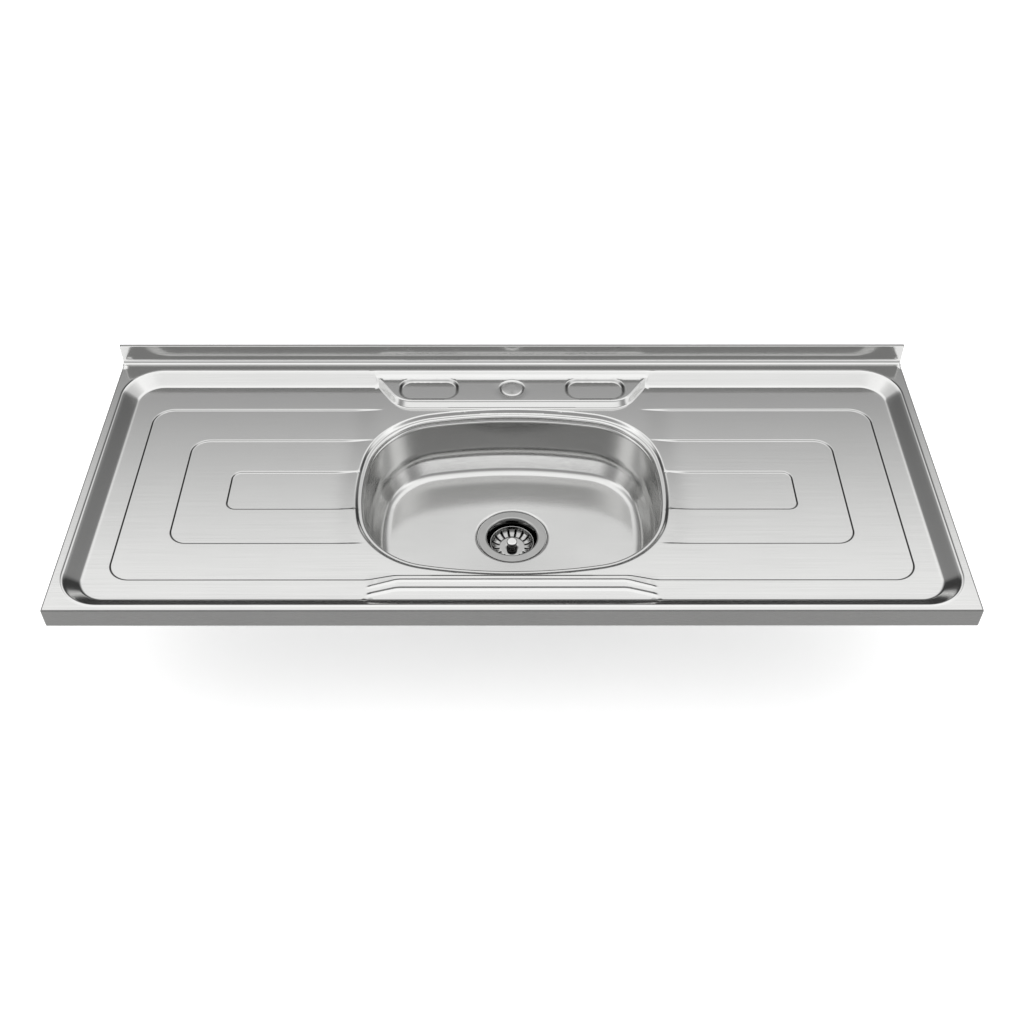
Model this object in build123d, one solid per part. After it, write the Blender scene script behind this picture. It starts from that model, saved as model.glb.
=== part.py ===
from build123d import *
import os
from math import radians, sqrt, tan

# A lay-on stainless kitchen sink: one pressed top with a drainboard on each side of a
# drawn bowl, a low upstand against the wall, and a basket strainer waste.
# Frame: +X right, +Y to the wall, +Z up. The origin is the centre of the seat plane,
# the underside of the hem that rests on the cabinet. All sizes are in millimetres.

# ------------------------------------------------------------------ driving dimensions

# sheet and edge
SHEET = 0.8                   # thickness of the top and of the bowl
WIDTH = 1200.0                # over the side aprons
DEPTH = 500.0                 # from the front apron to the fold of the upstand
APRON_HEIGHT = 30.0           # from the seat plane to the rim
APRON_BEND = 2.0              # outer bend radius between rim and apron
HEM_WIDTH = 12.0              # turned-in hem that rests on the cabinet
UPSTAND_HEIGHT = 32.0         # above the rim
UPSTAND_LIP = 5.0             # top of the upstand, turned back to the wall
UPSTAND_HEM = 8.0             # end of that lip, turned down
FOLD_RADIUS = 1.5             # inner radius where the rim turns up

# sunk field of the top
FIELD_DROP = 16.5             # rim down to the field
FIELD_SIDE_MARGIN = 12.0      # rim width at the left and right
FIELD_FRONT_MARGIN = 8.4
FIELD_BACK_MARGIN = 18.4
FIELD_RADIUS = 57.0           # plan radius of its corners, at the rim
FIELD_RUN = 22.0              # plan width of its sloping walls

# terraces of the drainboards, each one step lower than the one round it
STEP = 1.0                    # height of one step
STEP_RUN = 1.5                # plan width of its sloping edge
FADE_RUN = 25.0               # a terrace runs out towards the bowl over this length
# outer end from the side apron, front edge and back edge from the front apron,
# corner radius, half width of what the terrace leaves free at the bowl
TERRACES = (
    (64.7, 65.7, 407.5, 30.2, 207.1),
    (132.6, 133.1, 340.8, 25.1, 215.6),
    (200.3, 199.8, 275.8, 14.1, 223.2),
)
JOG_TOP = 155.8               # half length of the front step where it passes the bowl
JOG_FOOT = 190.5              # half length where it turns aside
JOG_SHIFT = 8.0               # how far it turns aside

# beads pressed in front of the bowl
BEAD_HEIGHT = 1.2
BEAD_HALF_LENGTH = 150.8      # of the straight run
BEAD_HOOK = 38.0              # further length of each hooked end
# distance of the straight run from the front apron, width, setback of the hooked end
BEADS = ((65.2, 4.0, 12.5), (50.4, 6.0, 11.0))

# tap ledge behind the bowl
LEDGE_DROP = 5.0              # below the rim
LEDGE_FRONT = 414.9           # its front edge, from the front apron
LEDGE_HALF_FRONT = 169.1      # half widths at its front and back
LEDGE_HALF_BACK = 212.6
LEDGE_RADIUS = 28.0
LEDGE_BEVEL_RUN = 5.1
SOAP_LENGTH = 90.0            # two shallow recesses for soap
SOAP_WIDTH = 47.0
SOAP_RADIUS = 20.0
SOAP_DEPTH = 2.4
SOAP_RUN = 3.0
SOAP_OFFSET_X = 126.0
LEDGE_CENTRE_Y = 443.7        # soap recesses and tap mark, from the front apron
TAP_MARK_DIAMETER = 38.0      # ring that marks the place of a tap hole, not pierced
TAP_MARK_WIDTH = 3.2
TAP_MARK_DEPTH = 0.9

# bowl opening: the overlap of four large discs, with rounded corners
BOWL_HALF_WIDTH = 210.1
BOWL_HALF_DEPTH = 154.8
BOWL_SIDE_BULGE = 321.7       # radius of the left and right sides
BOWL_FRONT_BULGE = 643.3      # radius of the front and back sides
BOWL_CORNER = 108.6
BOWL_CENTRE_Y = 242.1         # from the front apron
LAND_WIDTH = 6.5              # flat land round the opening
LAND_DROP = 3.5               # field down to the land
LAND_RUN = 4.0                # plan width of the slope above it
EDGE_RADIUS = 3.0             # land over into the wall
COLLAR = 6.5                  # land down to the weld between top and bowl

# bowl
BOWL_DEPTH = 116.5            # rim down to the floor
FLARE_DEPTH = 85.0            # rim down to where the upright wall turns in
WALL_DRAFT = 4.0              # inward lean of the upright wall, from top to bottom
FLARE_ANGLE = 31.0            # of the wall below that, from upright, in degrees
FLARE_RADIUS = 42.0           # where the wall turns in
FLOOR_RADIUS = 17.0
PAD_THICKNESS = 3.0           # damping pads stuck to the underside
BOWL_PAD_LENGTH = 96.0
BOWL_PAD_WIDTH = 56.0
BOWL_PAD_GAP = 22.0           # from the waste seat
DRAIN_PAD_LENGTH = 130.0
DRAIN_PAD_WIDTH = 56.0
PAD_CORNER = 8.0

# waste
SEAT_DIAMETER = 102.5         # sunk seat in the middle of the bowl's floor
SEAT_DROP = 3.4
SEAT_RUN = 2.6
FLANGE_DIAMETER = 100.0
FLANGE_THICKNESS = 1.0
FLANGE_EDGE_SHARE = 0.6       # of its thickness, rounded at the outer edge
FLANGE_SEAL_THICKNESS = 1.0
MOUTH_DIAMETER = 73.0         # where the flange turns down into the cup
MOUTH_RADIUS = 3.0
MOUTH_STRAIGHT = 4.0          # flange down to the start of the cup's taper
CUP_DIAMETER = 75.0           # outside, threaded for the lock nut
CUP_TAPER = 2.8               # the cup's bore narrows by this, per side
CUP_DEPTH = 31.5              # flange down to the outlet seat
CUP_BOTTOM_RADIUS = 6.0
CUP_BOTTOM_THICKNESS = 2.5
OUTLET_BORE = 38.0
SPUD_DIAMETER = 47.6          # threaded for the coupling nut
SPUD_LENGTH = 18.0
CROSSBAR_WIDTH = 3.2          # three spokes across the outlet
CROSSBAR_HEIGHT = 2.6
CROSSBAR_HUB_WALL = 3.0       # round the hole that grips the basket's clip
SPOKES = 3
HOLE_CLEARANCE = 2.0          # cup to the hole in the bowl, per side
THREAD_CLEARANCE = 0.15       # nut to thread, per side
GASKET_CLEARANCE = 0.5        # gaskets to the cup, per side
GASKET_DIAMETER = 101.0
GASKET_THICKNESS = 4.0
FRICTION_RING_THICKNESS = 1.2
LOCK_NUT_DIAMETER = 89.0
LOCK_NUT_HEIGHT = 14.0
LOCK_NUT_FLANGE = 3.5         # thickness of its flange
LOCK_NUT_LUGS = 6
LUG_WIDTH = 9.0
LUG_ROOT = 2.0                # how deep a lug runs into the collar

# outlet
TAIL_DIAMETER = 38.0          # outside of the tailpiece
TAIL_WALL = 1.0
TAIL_LENGTH = 86.0
TAIL_FLANGE_THICKNESS = 1.6
TAIL_NECK = 0.4               # extra wall of the neck inside the nut
TAIL_NECK_LENGTH = 5.0        # of the neck below the flange
OUTLET_WASHER_THICKNESS = 2.0
COUPLING_DIAMETER = 58.0
COUPLING_LIP = 3.0
COUPLING_GRIP = 12.0          # length of thread it holds on the spud
COUPLING_RIBS = 12
RIB_DIAMETER = 4.0
RIB_HEIGHT = 1.0              # how far the ribs stand out

# basket
BASKET_DIAMETER = 65.0
BASKET_SINK = 11.7            # flange down to its rim
BASKET_DEPTH = 10.2
BASKET_FLOOR_DIAMETER = 36.0
BASKET_BULGE_OUT = 0.72       # the curved wall passes this share of its way out
BASKET_BULGE_UP = 0.28        # at this share of its way up
BASKET_SHEET = 0.7
BASKET_BEAD = 1.6             # diameter of its rolled rim
BASKET_SLOTS = 16
SLOT_WIDTH = 1.8
SLOT_INNER = 19.0             # slots run between these radii
SLOT_OUTER = 29.2
KNOB_DIAMETER = 15.6
KNOB_NECK = 12.2
KNOB_HEIGHT = 11.7
KNOB_CAP = 3.3                # height of its domed head
KNOB_EDGE_RADIUS = 2.0
STEM_DIAMETER = 6.0
STEM_SPIGOT = 3.7             # its top end, riveted through the basket's floor
STEM_CLEARANCE = 0.05         # stem to what is threaded on it, per side
STEM_SHOULDER = 12.0          # diameter of the shoulder under the basket
STEM_HEAD = 8.0               # riveted head at its foot
STEM_HEAD_HEIGHT = 1.5
SEAL_DIAMETER = 46.0          # rubber stopper that closes the outlet
SEAL_LIP = 1.5                # its edge is chamfered by this
SEAL_THICKNESS = 3.5
RETAINER_DIAMETER = 30.0      # plate that presses on the stopper
WASHER_DIAMETER = 24.0        # washer under the stopper
PLATE_THICKNESS = 1.0         # of both
CLIP_DIAMETER = 9.6           # spring clip that grips in the crossbar's hub
CLIP_HEIGHT = 5.0
CLIP_EDGE = 1.2               # its rounded ends
RUNNING_GAP = 0.3             # between the basket's pieces and the waste

# stiffening rails under the drainboards
RAIL_LENGTH = 270.0
RAIL_WIDTH = 34.0             # over both flanges
RAIL_CROWN = 16.0
RAIL_HEIGHT = 14.0
RAIL_SHEET = 1.0
RAIL_END_GAP = 14.5           # to the outer end of the first terrace

# fixing brackets
BRACKET_SHEET = 1.5
BRACKET_WIDTH = 30.0
BRACKET_DROP = 25.0           # below the seat plane
BRACKET_INSET_Y = 60.0        # centre, from the ends of the top
BRACKET_LEG = 40.0            # length of the leg welded to the top
PANEL_THICKNESS = 18.0        # cabinet side that the top rests on
PANEL_CLEARANCE = 1.0
SCREW_HOLE = 5.0
SCREW_BELOW_SEAT = 13.0

# ------------------------------------------------------------------ positions

RIM_Z = APRON_HEIGHT
FIELD_Z = RIM_Z - FIELD_DROP
LEDGE_Z = RIM_Z - LEDGE_DROP
LAND_Z = FIELD_Z - LAND_DROP
COLLAR_Z = LAND_Z - COLLAR
FLARE_Z = RIM_Z - FLARE_DEPTH
FLOOR_Z = RIM_Z - BOWL_DEPTH
SEAT_Z = FLOOR_Z - SEAT_DROP
FLANGE_BOTTOM_Z = SEAT_Z + FLANGE_SEAL_THICKNESS
FLANGE_Z = FLANGE_BOTTOM_Z + FLANGE_THICKNESS
OUTLET_SEAT_Z = FLANGE_Z - CUP_DEPTH
CUP_BOTTOM_Z = OUTLET_SEAT_Z - CUP_BOTTOM_THICKNESS
SPUD_END_Z = CUP_BOTTOM_Z - SPUD_LENGTH
BASKET_RIM_Z = FLANGE_Z - BASKET_SINK
BASKET_FLOOR_Z = BASKET_RIM_Z - BASKET_DEPTH
LOWEST_FIELD_Z = FIELD_Z - len(TERRACES) * STEP
RAIL_TOP_Z = FIELD_Z - STEP - SHEET
SEAT_FACE_RADIUS = SEAT_DIAMETER / 2
TAIL_FLANGE_Z = SPUD_END_Z - OUTLET_WASHER_THICKNESS
UNDER_SEAT_Z = SEAT_Z - SHEET
UNDER_GASKET_Z = UNDER_SEAT_Z - GASKET_THICKNESS
LOCK_NUT_Z = UNDER_GASKET_Z - FRICTION_RING_THICKNESS
# down the basket's stem: retainer plate, stopper, washer, spring clip, riveted head
SEAL_BOTTOM_Z = OUTLET_SEAT_Z + RUNNING_GAP
SEAL_TOP_Z = SEAL_BOTTOM_Z + SEAL_THICKNESS
RETAINER_TOP_Z = SEAL_TOP_Z + PLATE_THICKNESS
WASHER_BOTTOM_Z = SEAL_BOTTOM_Z - PLATE_THICKNESS
CLIP_BOTTOM_Z = WASHER_BOTTOM_Z - CLIP_HEIGHT
OVERCUT = 1.0                 # how far cutting tools run past a face
TOLERANCE = 0.01              # for picking faces and edges at a height
JUST_SHORT = 0.001            # keeps an arc from using up its whole line


def from_front(distance):
    """Y of a point that lies at this distance behind the front apron."""
    return distance - DEPTH / 2


BOWL_Y = from_front(BOWL_CENTRE_Y)
WASTE_Y = BOWL_Y


# ------------------------------------------------------------------ outlines

def prism(outline, bottom, top):
    """The outline, standing between two heights."""
    return extrude(Pos(0, 0, bottom) * outline, amount=top - bottom, dir=(0, 0, 1))


def rectangle(half_width, front, back, radius):
    """A rounded rectangle, centred left to right, between two distances from the front."""
    centre = Pos(0, from_front((front + back) / 2))
    return centre * RectangleRounded(2 * half_width, back - front, radius)


def bowl_outline(outset=0.0):
    """The bowl's opening, moved outwards everywhere by one distance."""
    half_width = BOWL_HALF_WIDTH + outset
    half_depth = BOWL_HALF_DEPTH + outset
    side = BOWL_SIDE_BULGE + outset
    front = BOWL_FRONT_BULGE + outset
    outline = Circle(side).moved(Location((half_width - side, 0)))
    outline &= Circle(side).moved(Location((side - half_width, 0)))
    outline &= Circle(front).moved(Location((0, half_depth - front)))
    outline &= Circle(front).moved(Location((0, front - half_depth)))
    outline = fillet(outline.vertices(), BOWL_CORNER + outset)
    return Pos(0, BOWL_Y) * outline


def flared(lower, bottom, upper, top):
    """A solid with straight sloping walls from one outline up to another."""
    return loft([Pos(0, 0, bottom) * lower, Pos(0, 0, top) * upper], ruled=True)


# ------------------------------------------------------------------ pressed top
# The top is the space between two forms, its face and its underside. Each form is a
# solid block with all that is pressed into it. The underside's form lies lower by the
# sheet, its sunk outlines are wider and its raised ones narrower by part of the sheet.

def press_shift(skin):
    """Sideways shift that keeps a gently sloping wall at about the sheet's thickness."""
    return skin / 2


def form_block(skin):
    """The block under the rim, rounded along its front and sides, open at the back."""
    back = DEPTH / 2 - FOLD_RADIUS + (OVERCUT if skin else 0)
    front = -DEPTH / 2 + skin
    bottom = -OVERCUT if skin else 0
    base = Pos(0, (front + back) / 2) * Rectangle(WIDTH - 2 * skin, back - front)
    block = prism(base, bottom, RIM_Z - skin)
    bends = block.edges().group_by(Axis.Z)[-1].sort_by(Axis.Y)[:-1]
    bends += block.edges().filter_by(Axis.Z).group_by(Axis.Y)[0]
    return fillet(bends, APRON_BEND - skin)


def ledge_outline(outset):
    """The tap ledge: a trapezium that flares to the back, its front corners rounded."""
    back = DEPTH - FIELD_BACK_MARGIN
    lean = (LEDGE_HALF_BACK - LEDGE_HALF_FRONT) / (back - LEDGE_FRONT)
    side_shift = outset * sqrt(1 + lean ** 2)
    front = LEDGE_FRONT - outset
    half_front = LEDGE_HALF_FRONT - outset * lean + side_shift
    half_back = LEDGE_HALF_BACK + side_shift
    corners = [
        (-half_back, from_front(back)),
        (-half_front, from_front(front)),
        (half_front, from_front(front)),
        (half_back, from_front(back)),
    ]
    outline = Polygon(*corners, align=None)
    return fillet(outline.vertices().group_by(Axis.Y)[0], LEDGE_RADIUS + outset)


def ledge(skin):
    """The raised tap ledge, with its soap recesses and the ring of the tap mark."""
    shift = press_shift(skin)
    top = LEDGE_Z - skin
    foot = FIELD_Z - skin
    solid = flared(ledge_outline(LEDGE_BEVEL_RUN - shift), foot, ledge_outline(-shift), top)
    for side in (-1, 1):
        place = Pos(side * SOAP_OFFSET_X, from_front(LEDGE_CENTRE_Y))
        mouth = RectangleRounded(SOAP_LENGTH + 2 * shift, SOAP_WIDTH + 2 * shift, SOAP_RADIUS + shift)
        inset = SOAP_RUN - shift
        floor = RectangleRounded(SOAP_LENGTH - 2 * inset, SOAP_WIDTH - 2 * inset, SOAP_RADIUS - inset)
        solid -= flared(place * floor, top - SOAP_DEPTH, place * mouth, top)
    radius = TAP_MARK_DIAMETER / 2
    mark = Circle(radius + shift) - Circle(radius - TAP_MARK_WIDTH - shift)
    return solid - prism(Pos(0, from_front(LEDGE_CENTRE_Y)) * mark, top - TAP_MARK_DEPTH, top)


def field(skin):
    """What the sunk field takes out of the block, with the tap ledge left standing."""
    shift = press_shift(skin)
    top_outline = rectangle(
        WIDTH / 2 - FIELD_SIDE_MARGIN + shift,
        FIELD_FRONT_MARGIN - shift,
        DEPTH - FIELD_BACK_MARGIN + shift,
        FIELD_RADIUS + shift,
    )
    foot_outline = rectangle(
        WIDTH / 2 - FIELD_SIDE_MARGIN - FIELD_RUN + shift,
        FIELD_FRONT_MARGIN + FIELD_RUN - shift,
        DEPTH - FIELD_BACK_MARGIN - FIELD_RUN + shift,
        FIELD_RADIUS - FIELD_RUN + shift,
    )
    return flared(foot_outline, FIELD_Z - skin, top_outline, RIM_Z - skin) - ledge(skin)


def saddle(inner_end, front, fall, skin):
    """What keeps a terrace off the bowl: it stands at the field and fades over its ends."""
    top = FIELD_Z - skin
    section = Polygon(
        (-inner_end, top + OVERCUT),
        (-inner_end, top),
        (-inner_end - FADE_RUN, top - fall),
        (inner_end + FADE_RUN, top - fall),
        (inner_end, top),
        (inner_end, top + OVERCUT),
        align=None,
    )
    length = DEPTH - front
    return extrude(Plane.XZ.offset(-from_front(DEPTH)) * section, amount=length)


def terrace(index, skin):
    """One terrace of both drainboards, cut from the field's height down to its own."""
    end_margin, front, back, radius, inner_end = TERRACES[index]
    outer_end = WIDTH / 2 - end_margin
    shift = press_shift(skin)
    fall = (index + 1) * STEP
    above = index * STEP_RUN + shift
    below = STEP_RUN - shift
    top_outline = rectangle(outer_end + above, front - above, back + above, radius + above)
    floor_outline = rectangle(outer_end - below, front + below, back - below, radius - below)
    tool = flared(floor_outline, FIELD_Z - skin - fall, top_outline, FIELD_Z - skin)
    first = index == 0
    tool -= saddle(inner_end, BOWL_CENTRE_Y if first else 0, fall, skin)
    if first:
        tool -= jog(shift, skin)
    return tool


def jog(shift, skin):
    """The strip in front of the bowl where the front step turns aside."""
    line = from_front(TERRACES[0][1] - shift)
    top = FIELD_Z - skin

    def strip(run):
        corners = [
            (-JOG_FOOT, line - OVERCUT),
            (-JOG_FOOT, line + run),
            (-JOG_TOP, line + JOG_SHIFT + run),
            (JOG_TOP, line + JOG_SHIFT + run),
            (JOG_FOOT, line + run),
            (JOG_FOOT, line - OVERCUT),
        ]
        return Polygon(*corners, align=None)

    return flared(strip(STEP_RUN), top - STEP, strip(0), top)


def bead(distance, width, setback, skin):
    """One bead in front of the bowl: a straight run with both ends hooked forwards."""
    y = from_front(distance)
    end = BEAD_HALF_LENGTH + BEAD_HOOK
    line = Polyline(
        (-end, y - setback),
        (-BEAD_HALF_LENGTH, y),
        (BEAD_HALF_LENGTH, y),
        (end, y - setback),
    )
    band = trace(line, width - 2 * press_shift(skin))
    return prism(band, FIELD_Z - skin - OVERCUT, FIELD_Z - skin + BEAD_HEIGHT)


def bowl_mouth(skin):
    """The slope down to the land round the bowl, and the opening below it."""
    shift = press_shift(skin)
    slope_foot = LAND_WIDTH + shift
    land = flared(
        bowl_outline(slope_foot),
        LAND_Z - skin,
        bowl_outline(slope_foot + LAND_RUN),
        FIELD_Z - skin,
    )
    opening = prism(bowl_outline(skin), -2 * OVERCUT, LAND_Z)
    return land + opening


def pressed_form(skin):
    """The form of the face where skin is 0, and of the underside where it is the sheet."""
    form = form_block(skin) - field(skin)
    for index in range(len(TERRACES)):
        form -= terrace(index, skin)
    for distance, width, setback in BEADS:
        form += bead(distance, width, setback, skin)
    form -= bowl_mouth(skin)
    lands = form.faces().filter_by(Plane.XY).filter_by_position(
        Axis.Z, LAND_Z - skin - TOLERANCE, LAND_Z - skin + TOLERANCE
    )
    rims = lands.sort_by(SortBy.AREA)[-1].inner_wires()
    return fillet(rims.edges(), EDGE_RADIUS - skin)


def upstand():
    """The low back edge: the sheet turned up, back towards the wall and down again."""
    fold = DEPTH / 2
    top = RIM_Z + UPSTAND_HEIGHT
    back = fold + UPSTAND_LIP
    line = FilletPolyline(
        (fold - FOLD_RADIUS, RIM_Z),
        (fold, RIM_Z),
        (fold, top),
        (back, top),
        (back, top - UPSTAND_HEM),
        radius=[FOLD_RADIUS - JUST_SHORT, SHEET, SHEET],
    )
    section = offset(line, SHEET, side=Side.RIGHT)
    return extrude(Plane.YZ.offset(-WIDTH / 2) * make_face(section.edges()), amount=WIDTH)


def hem():
    """The turned-in hem along the front and both sides, on which the sink rests."""
    depth = DEPTH - FOLD_RADIUS
    outer = Pos(0, -FOLD_RADIUS / 2) * Rectangle(WIDTH, depth)
    outer = fillet(outer.vertices().group_by(Axis.Y)[0], APRON_BEND)
    inner = Pos(0, HEM_WIDTH) * Rectangle(WIDTH - 2 * HEM_WIDTH, DEPTH)
    return prism(outer - inner, 0, SHEET)


def sink_top():
    """The pressed top with its aprons, hem and upstand."""
    sheet = pressed_form(0) - pressed_form(SHEET)
    sheet -= prism(bowl_outline(LAND_WIDTH), -OVERCUT, COLLAR_Z)
    return sheet + upstand() + hem()


# ------------------------------------------------------------------ bowl

def bowl_space(skin):
    """The bowl's inside where skin is 0, and its outside where it is the sheet."""
    floor_z = FLOOR_Z - skin
    turn = skin - WALL_DRAFT
    floor = turn - (FLARE_Z - floor_z) * tan(radians(FLARE_ANGLE))
    space = flared(bowl_outline(floor), floor_z, bowl_outline(turn), FLARE_Z)
    space += flared(bowl_outline(turn), FLARE_Z, bowl_outline(skin), COLLAR_Z)
    turns = space.edges().filter_by_position(Axis.Z, FLARE_Z - TOLERANCE, FLARE_Z + TOLERANCE)
    space = fillet(turns, FLARE_RADIUS + skin)
    space = fillet(space.edges().group_by(Axis.Z)[0], FLOOR_RADIUS + skin)
    seat = Pos(0, WASTE_Y) * Circle(SEAT_FACE_RADIUS + skin)
    slope = Pos(0, WASTE_Y) * Circle(SEAT_FACE_RADIUS + skin + SEAT_RUN)
    return space + flared(seat, SEAT_Z - skin, slope, floor_z)


def bowl():
    """The bowl, open at the top, with a sunk seat and a hole for the waste."""
    hole_radius = CUP_DIAMETER / 2 + HOLE_CLEARANCE
    hole = Pos(0, WASTE_Y) * Circle(hole_radius)
    return bowl_space(SHEET) - bowl_space(0) - prism(hole, SEAT_Z - SHEET - OVERCUT, SEAT_Z + OVERCUT)


# ------------------------------------------------------------------ pads, rails, brackets

def pad(length, width, centre, top):
    """A damping pad with rounded corners, stuck on from below."""
    return prism(Pos(*centre) * RectangleRounded(length, width, PAD_CORNER), top - PAD_THICKNESS, top)


def bowl_pad(side):
    """A pad under the bowl's floor, beside the waste."""
    x = side * (SEAT_FACE_RADIUS + SEAT_RUN + BOWL_PAD_GAP + BOWL_PAD_WIDTH / 2)
    return pad(BOWL_PAD_WIDTH, BOWL_PAD_LENGTH, (x, BOWL_Y), FLOOR_Z - SHEET)


def drainboard_pad(side):
    """A pad under the lowest terrace of a drainboard."""
    end_margin, front, back, _, inner_end = TERRACES[-1]
    x = side * (WIDTH / 2 - end_margin + inner_end + FADE_RUN) / 2
    y = from_front((front + back) / 2)
    return pad(DRAIN_PAD_LENGTH, DRAIN_PAD_WIDTH, (x, y), LOWEST_FIELD_Z - SHEET)


def rail(side, row):
    """A hat-section rail under the strip between the two outer terraces."""
    outer, inner = TERRACES[0], TERRACES[1]
    strip = (outer[1] + inner[1]) / 2 if row < 0 else (outer[2] + inner[2]) / 2
    hung = (Align.CENTER, Align.MAX)
    section = Rectangle(RAIL_WIDTH, RAIL_SHEET, align=hung)
    section += Rectangle(RAIL_CROWN, RAIL_HEIGHT, align=hung)
    section -= Rectangle(RAIL_CROWN - 2 * RAIL_SHEET, RAIL_HEIGHT - RAIL_SHEET, align=hung)
    solid = extrude(Plane.YZ * section, amount=RAIL_LENGTH / 2, both=True)
    x = WIDTH / 2 - outer[0] - RAIL_END_GAP - RAIL_LENGTH / 2
    return Pos(side * x, from_front(strip), RAIL_TOP_Z) * solid


def bracket(side, row):
    """An angle bracket: one leg under the field, one down inside the cabinet side."""
    face = WIDTH / 2 - PANEL_THICKNESS - PANEL_CLEARANCE
    top = FIELD_Z - SHEET
    bottom = -BRACKET_DROP
    section = Polygon(
        (face, bottom),
        (face, top),
        (face - BRACKET_LEG, top),
        (face - BRACKET_LEG, top - BRACKET_SHEET),
        (face - BRACKET_SHEET, top - BRACKET_SHEET),
        (face - BRACKET_SHEET, bottom),
        align=None,
    )
    solid = extrude(Plane.XZ * section, amount=BRACKET_WIDTH / 2, both=True)
    screw = Pos(0, -SCREW_BELOW_SEAT) * Circle(SCREW_HOLE / 2)
    solid -= extrude(Plane.YZ.offset(face - BRACKET_SHEET - OVERCUT) * screw, BRACKET_SHEET + 2 * OVERCUT)
    y = row * (DEPTH / 2 - BRACKET_INSET_Y)
    solid = Pos(0, y) * solid
    return solid if side > 0 else mirror(solid, about=Plane.YZ)


# ------------------------------------------------------------------ waste

def turned(points):
    """A body turned about the waste's axis from a closed outline of radii and heights."""
    outline = Plane.XZ * Polygon(*points, align=None)
    return Pos(0, WASTE_Y) * revolve(outline, Axis.Z)


def ring(outer_diameter, inner_diameter, bottom, top):
    """A flat ring about the waste's axis."""
    outline = Circle(outer_diameter / 2) - Circle(inner_diameter / 2)
    return prism(Pos(0, WASTE_Y) * outline, bottom, top)


def circles_at(body, height):
    """The circular edges of a body at one height, the smallest first."""
    edges = body.edges().filter_by(GeomType.CIRCLE)
    return edges.filter_by_position(Axis.Z, height - TOLERANCE, height + TOLERANCE).sort_by(SortBy.RADIUS)


def waste_cup():
    """The flanged cup with its threaded outside, outlet spud and crossbar."""
    mouth = MOUTH_DIAMETER / 2
    outside = CUP_DIAMETER / 2
    bore = mouth - CUP_TAPER
    outlet = OUTLET_BORE / 2
    spud = SPUD_DIAMETER / 2
    flange = FLANGE_DIAMETER / 2
    chamfer_z = OUTLET_SEAT_Z + CUP_BOTTOM_RADIUS
    body = turned([
        (outlet, OUTLET_SEAT_Z),
        (bore, OUTLET_SEAT_Z),
        (mouth, FLANGE_Z - MOUTH_STRAIGHT),
        (mouth, FLANGE_Z),
        (flange, FLANGE_Z),
        (flange, FLANGE_BOTTOM_Z),
        (outside, FLANGE_BOTTOM_Z),
        (outside, chamfer_z),
        (outside - CUP_BOTTOM_RADIUS, CUP_BOTTOM_Z),
        (spud, CUP_BOTTOM_Z),
        (spud, SPUD_END_Z),
        (outlet, SPUD_END_Z),
    ])
    body = fillet(circles_at(body, FLANGE_Z)[0], MOUTH_RADIUS)
    body = fillet(circles_at(body, FLANGE_Z)[-1], FLANGE_THICKNESS * FLANGE_EDGE_SHARE)
    body = fillet(circles_at(body, OUTLET_SEAT_Z)[-1], CUP_BOTTOM_RADIUS)
    return body + crossbar()


def crossbar():
    """Spokes across the outlet that carry a hub with a hole for the basket's clip."""
    outlet = OUTLET_BORE / 2
    hole = CLIP_DIAMETER / 2 + RUNNING_GAP
    bars = Circle(hole + CROSSBAR_HUB_WALL)
    for angle in range(0, 360, 360 // SPOKES):
        spoke = Pos(outlet / 2, 0) * Rectangle(outlet, CROSSBAR_WIDTH)
        bars += Rot(0, 0, angle + 90) * spoke
    bars -= Circle(hole)
    bars &= Circle((outlet + SPUD_DIAMETER / 2) / 2)
    return prism(Pos(0, WASTE_Y) * bars, CUP_BOTTOM_Z - CROSSBAR_HEIGHT, CUP_BOTTOM_Z)


def lock_nut():
    """The nut that pulls the cup down: a flange, a threaded collar and lugs to turn it."""
    bottom = LOCK_NUT_Z - LOCK_NUT_HEIGHT
    shoulder = LOCK_NUT_Z - LOCK_NUT_FLANGE
    thread = CUP_DIAMETER + 2 * THREAD_CLEARANCE
    nut = ring(GASKET_DIAMETER, thread, shoulder, LOCK_NUT_Z)
    nut += ring(LOCK_NUT_DIAMETER, thread, bottom, shoulder)
    root = LOCK_NUT_DIAMETER / 2 - LUG_ROOT
    tip = GASKET_DIAMETER / 2
    for index in range(LOCK_NUT_LUGS):
        lug = Pos((root + tip) / 2, 0) * Rectangle(tip - root, LUG_WIDTH)
        lug = Rot(0, 0, index * 360 / LOCK_NUT_LUGS) * lug
        nut += prism(Pos(0, WASTE_Y) * (lug & Circle(tip)), bottom, shoulder)
    return nut


def tailpiece():
    """The flanged tube that carries the water down to a trap."""
    bore = TAIL_DIAMETER - 2 * TAIL_WALL
    flange_bottom = TAIL_FLANGE_Z - TAIL_FLANGE_THICKNESS
    neck = TAIL_DIAMETER + 2 * TAIL_NECK
    solid = ring(SPUD_DIAMETER, bore, flange_bottom, TAIL_FLANGE_Z)
    solid += ring(neck, bore, flange_bottom - TAIL_NECK_LENGTH, flange_bottom)
    return solid + ring(TAIL_DIAMETER, bore, TAIL_FLANGE_Z - TAIL_LENGTH, flange_bottom)


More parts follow.
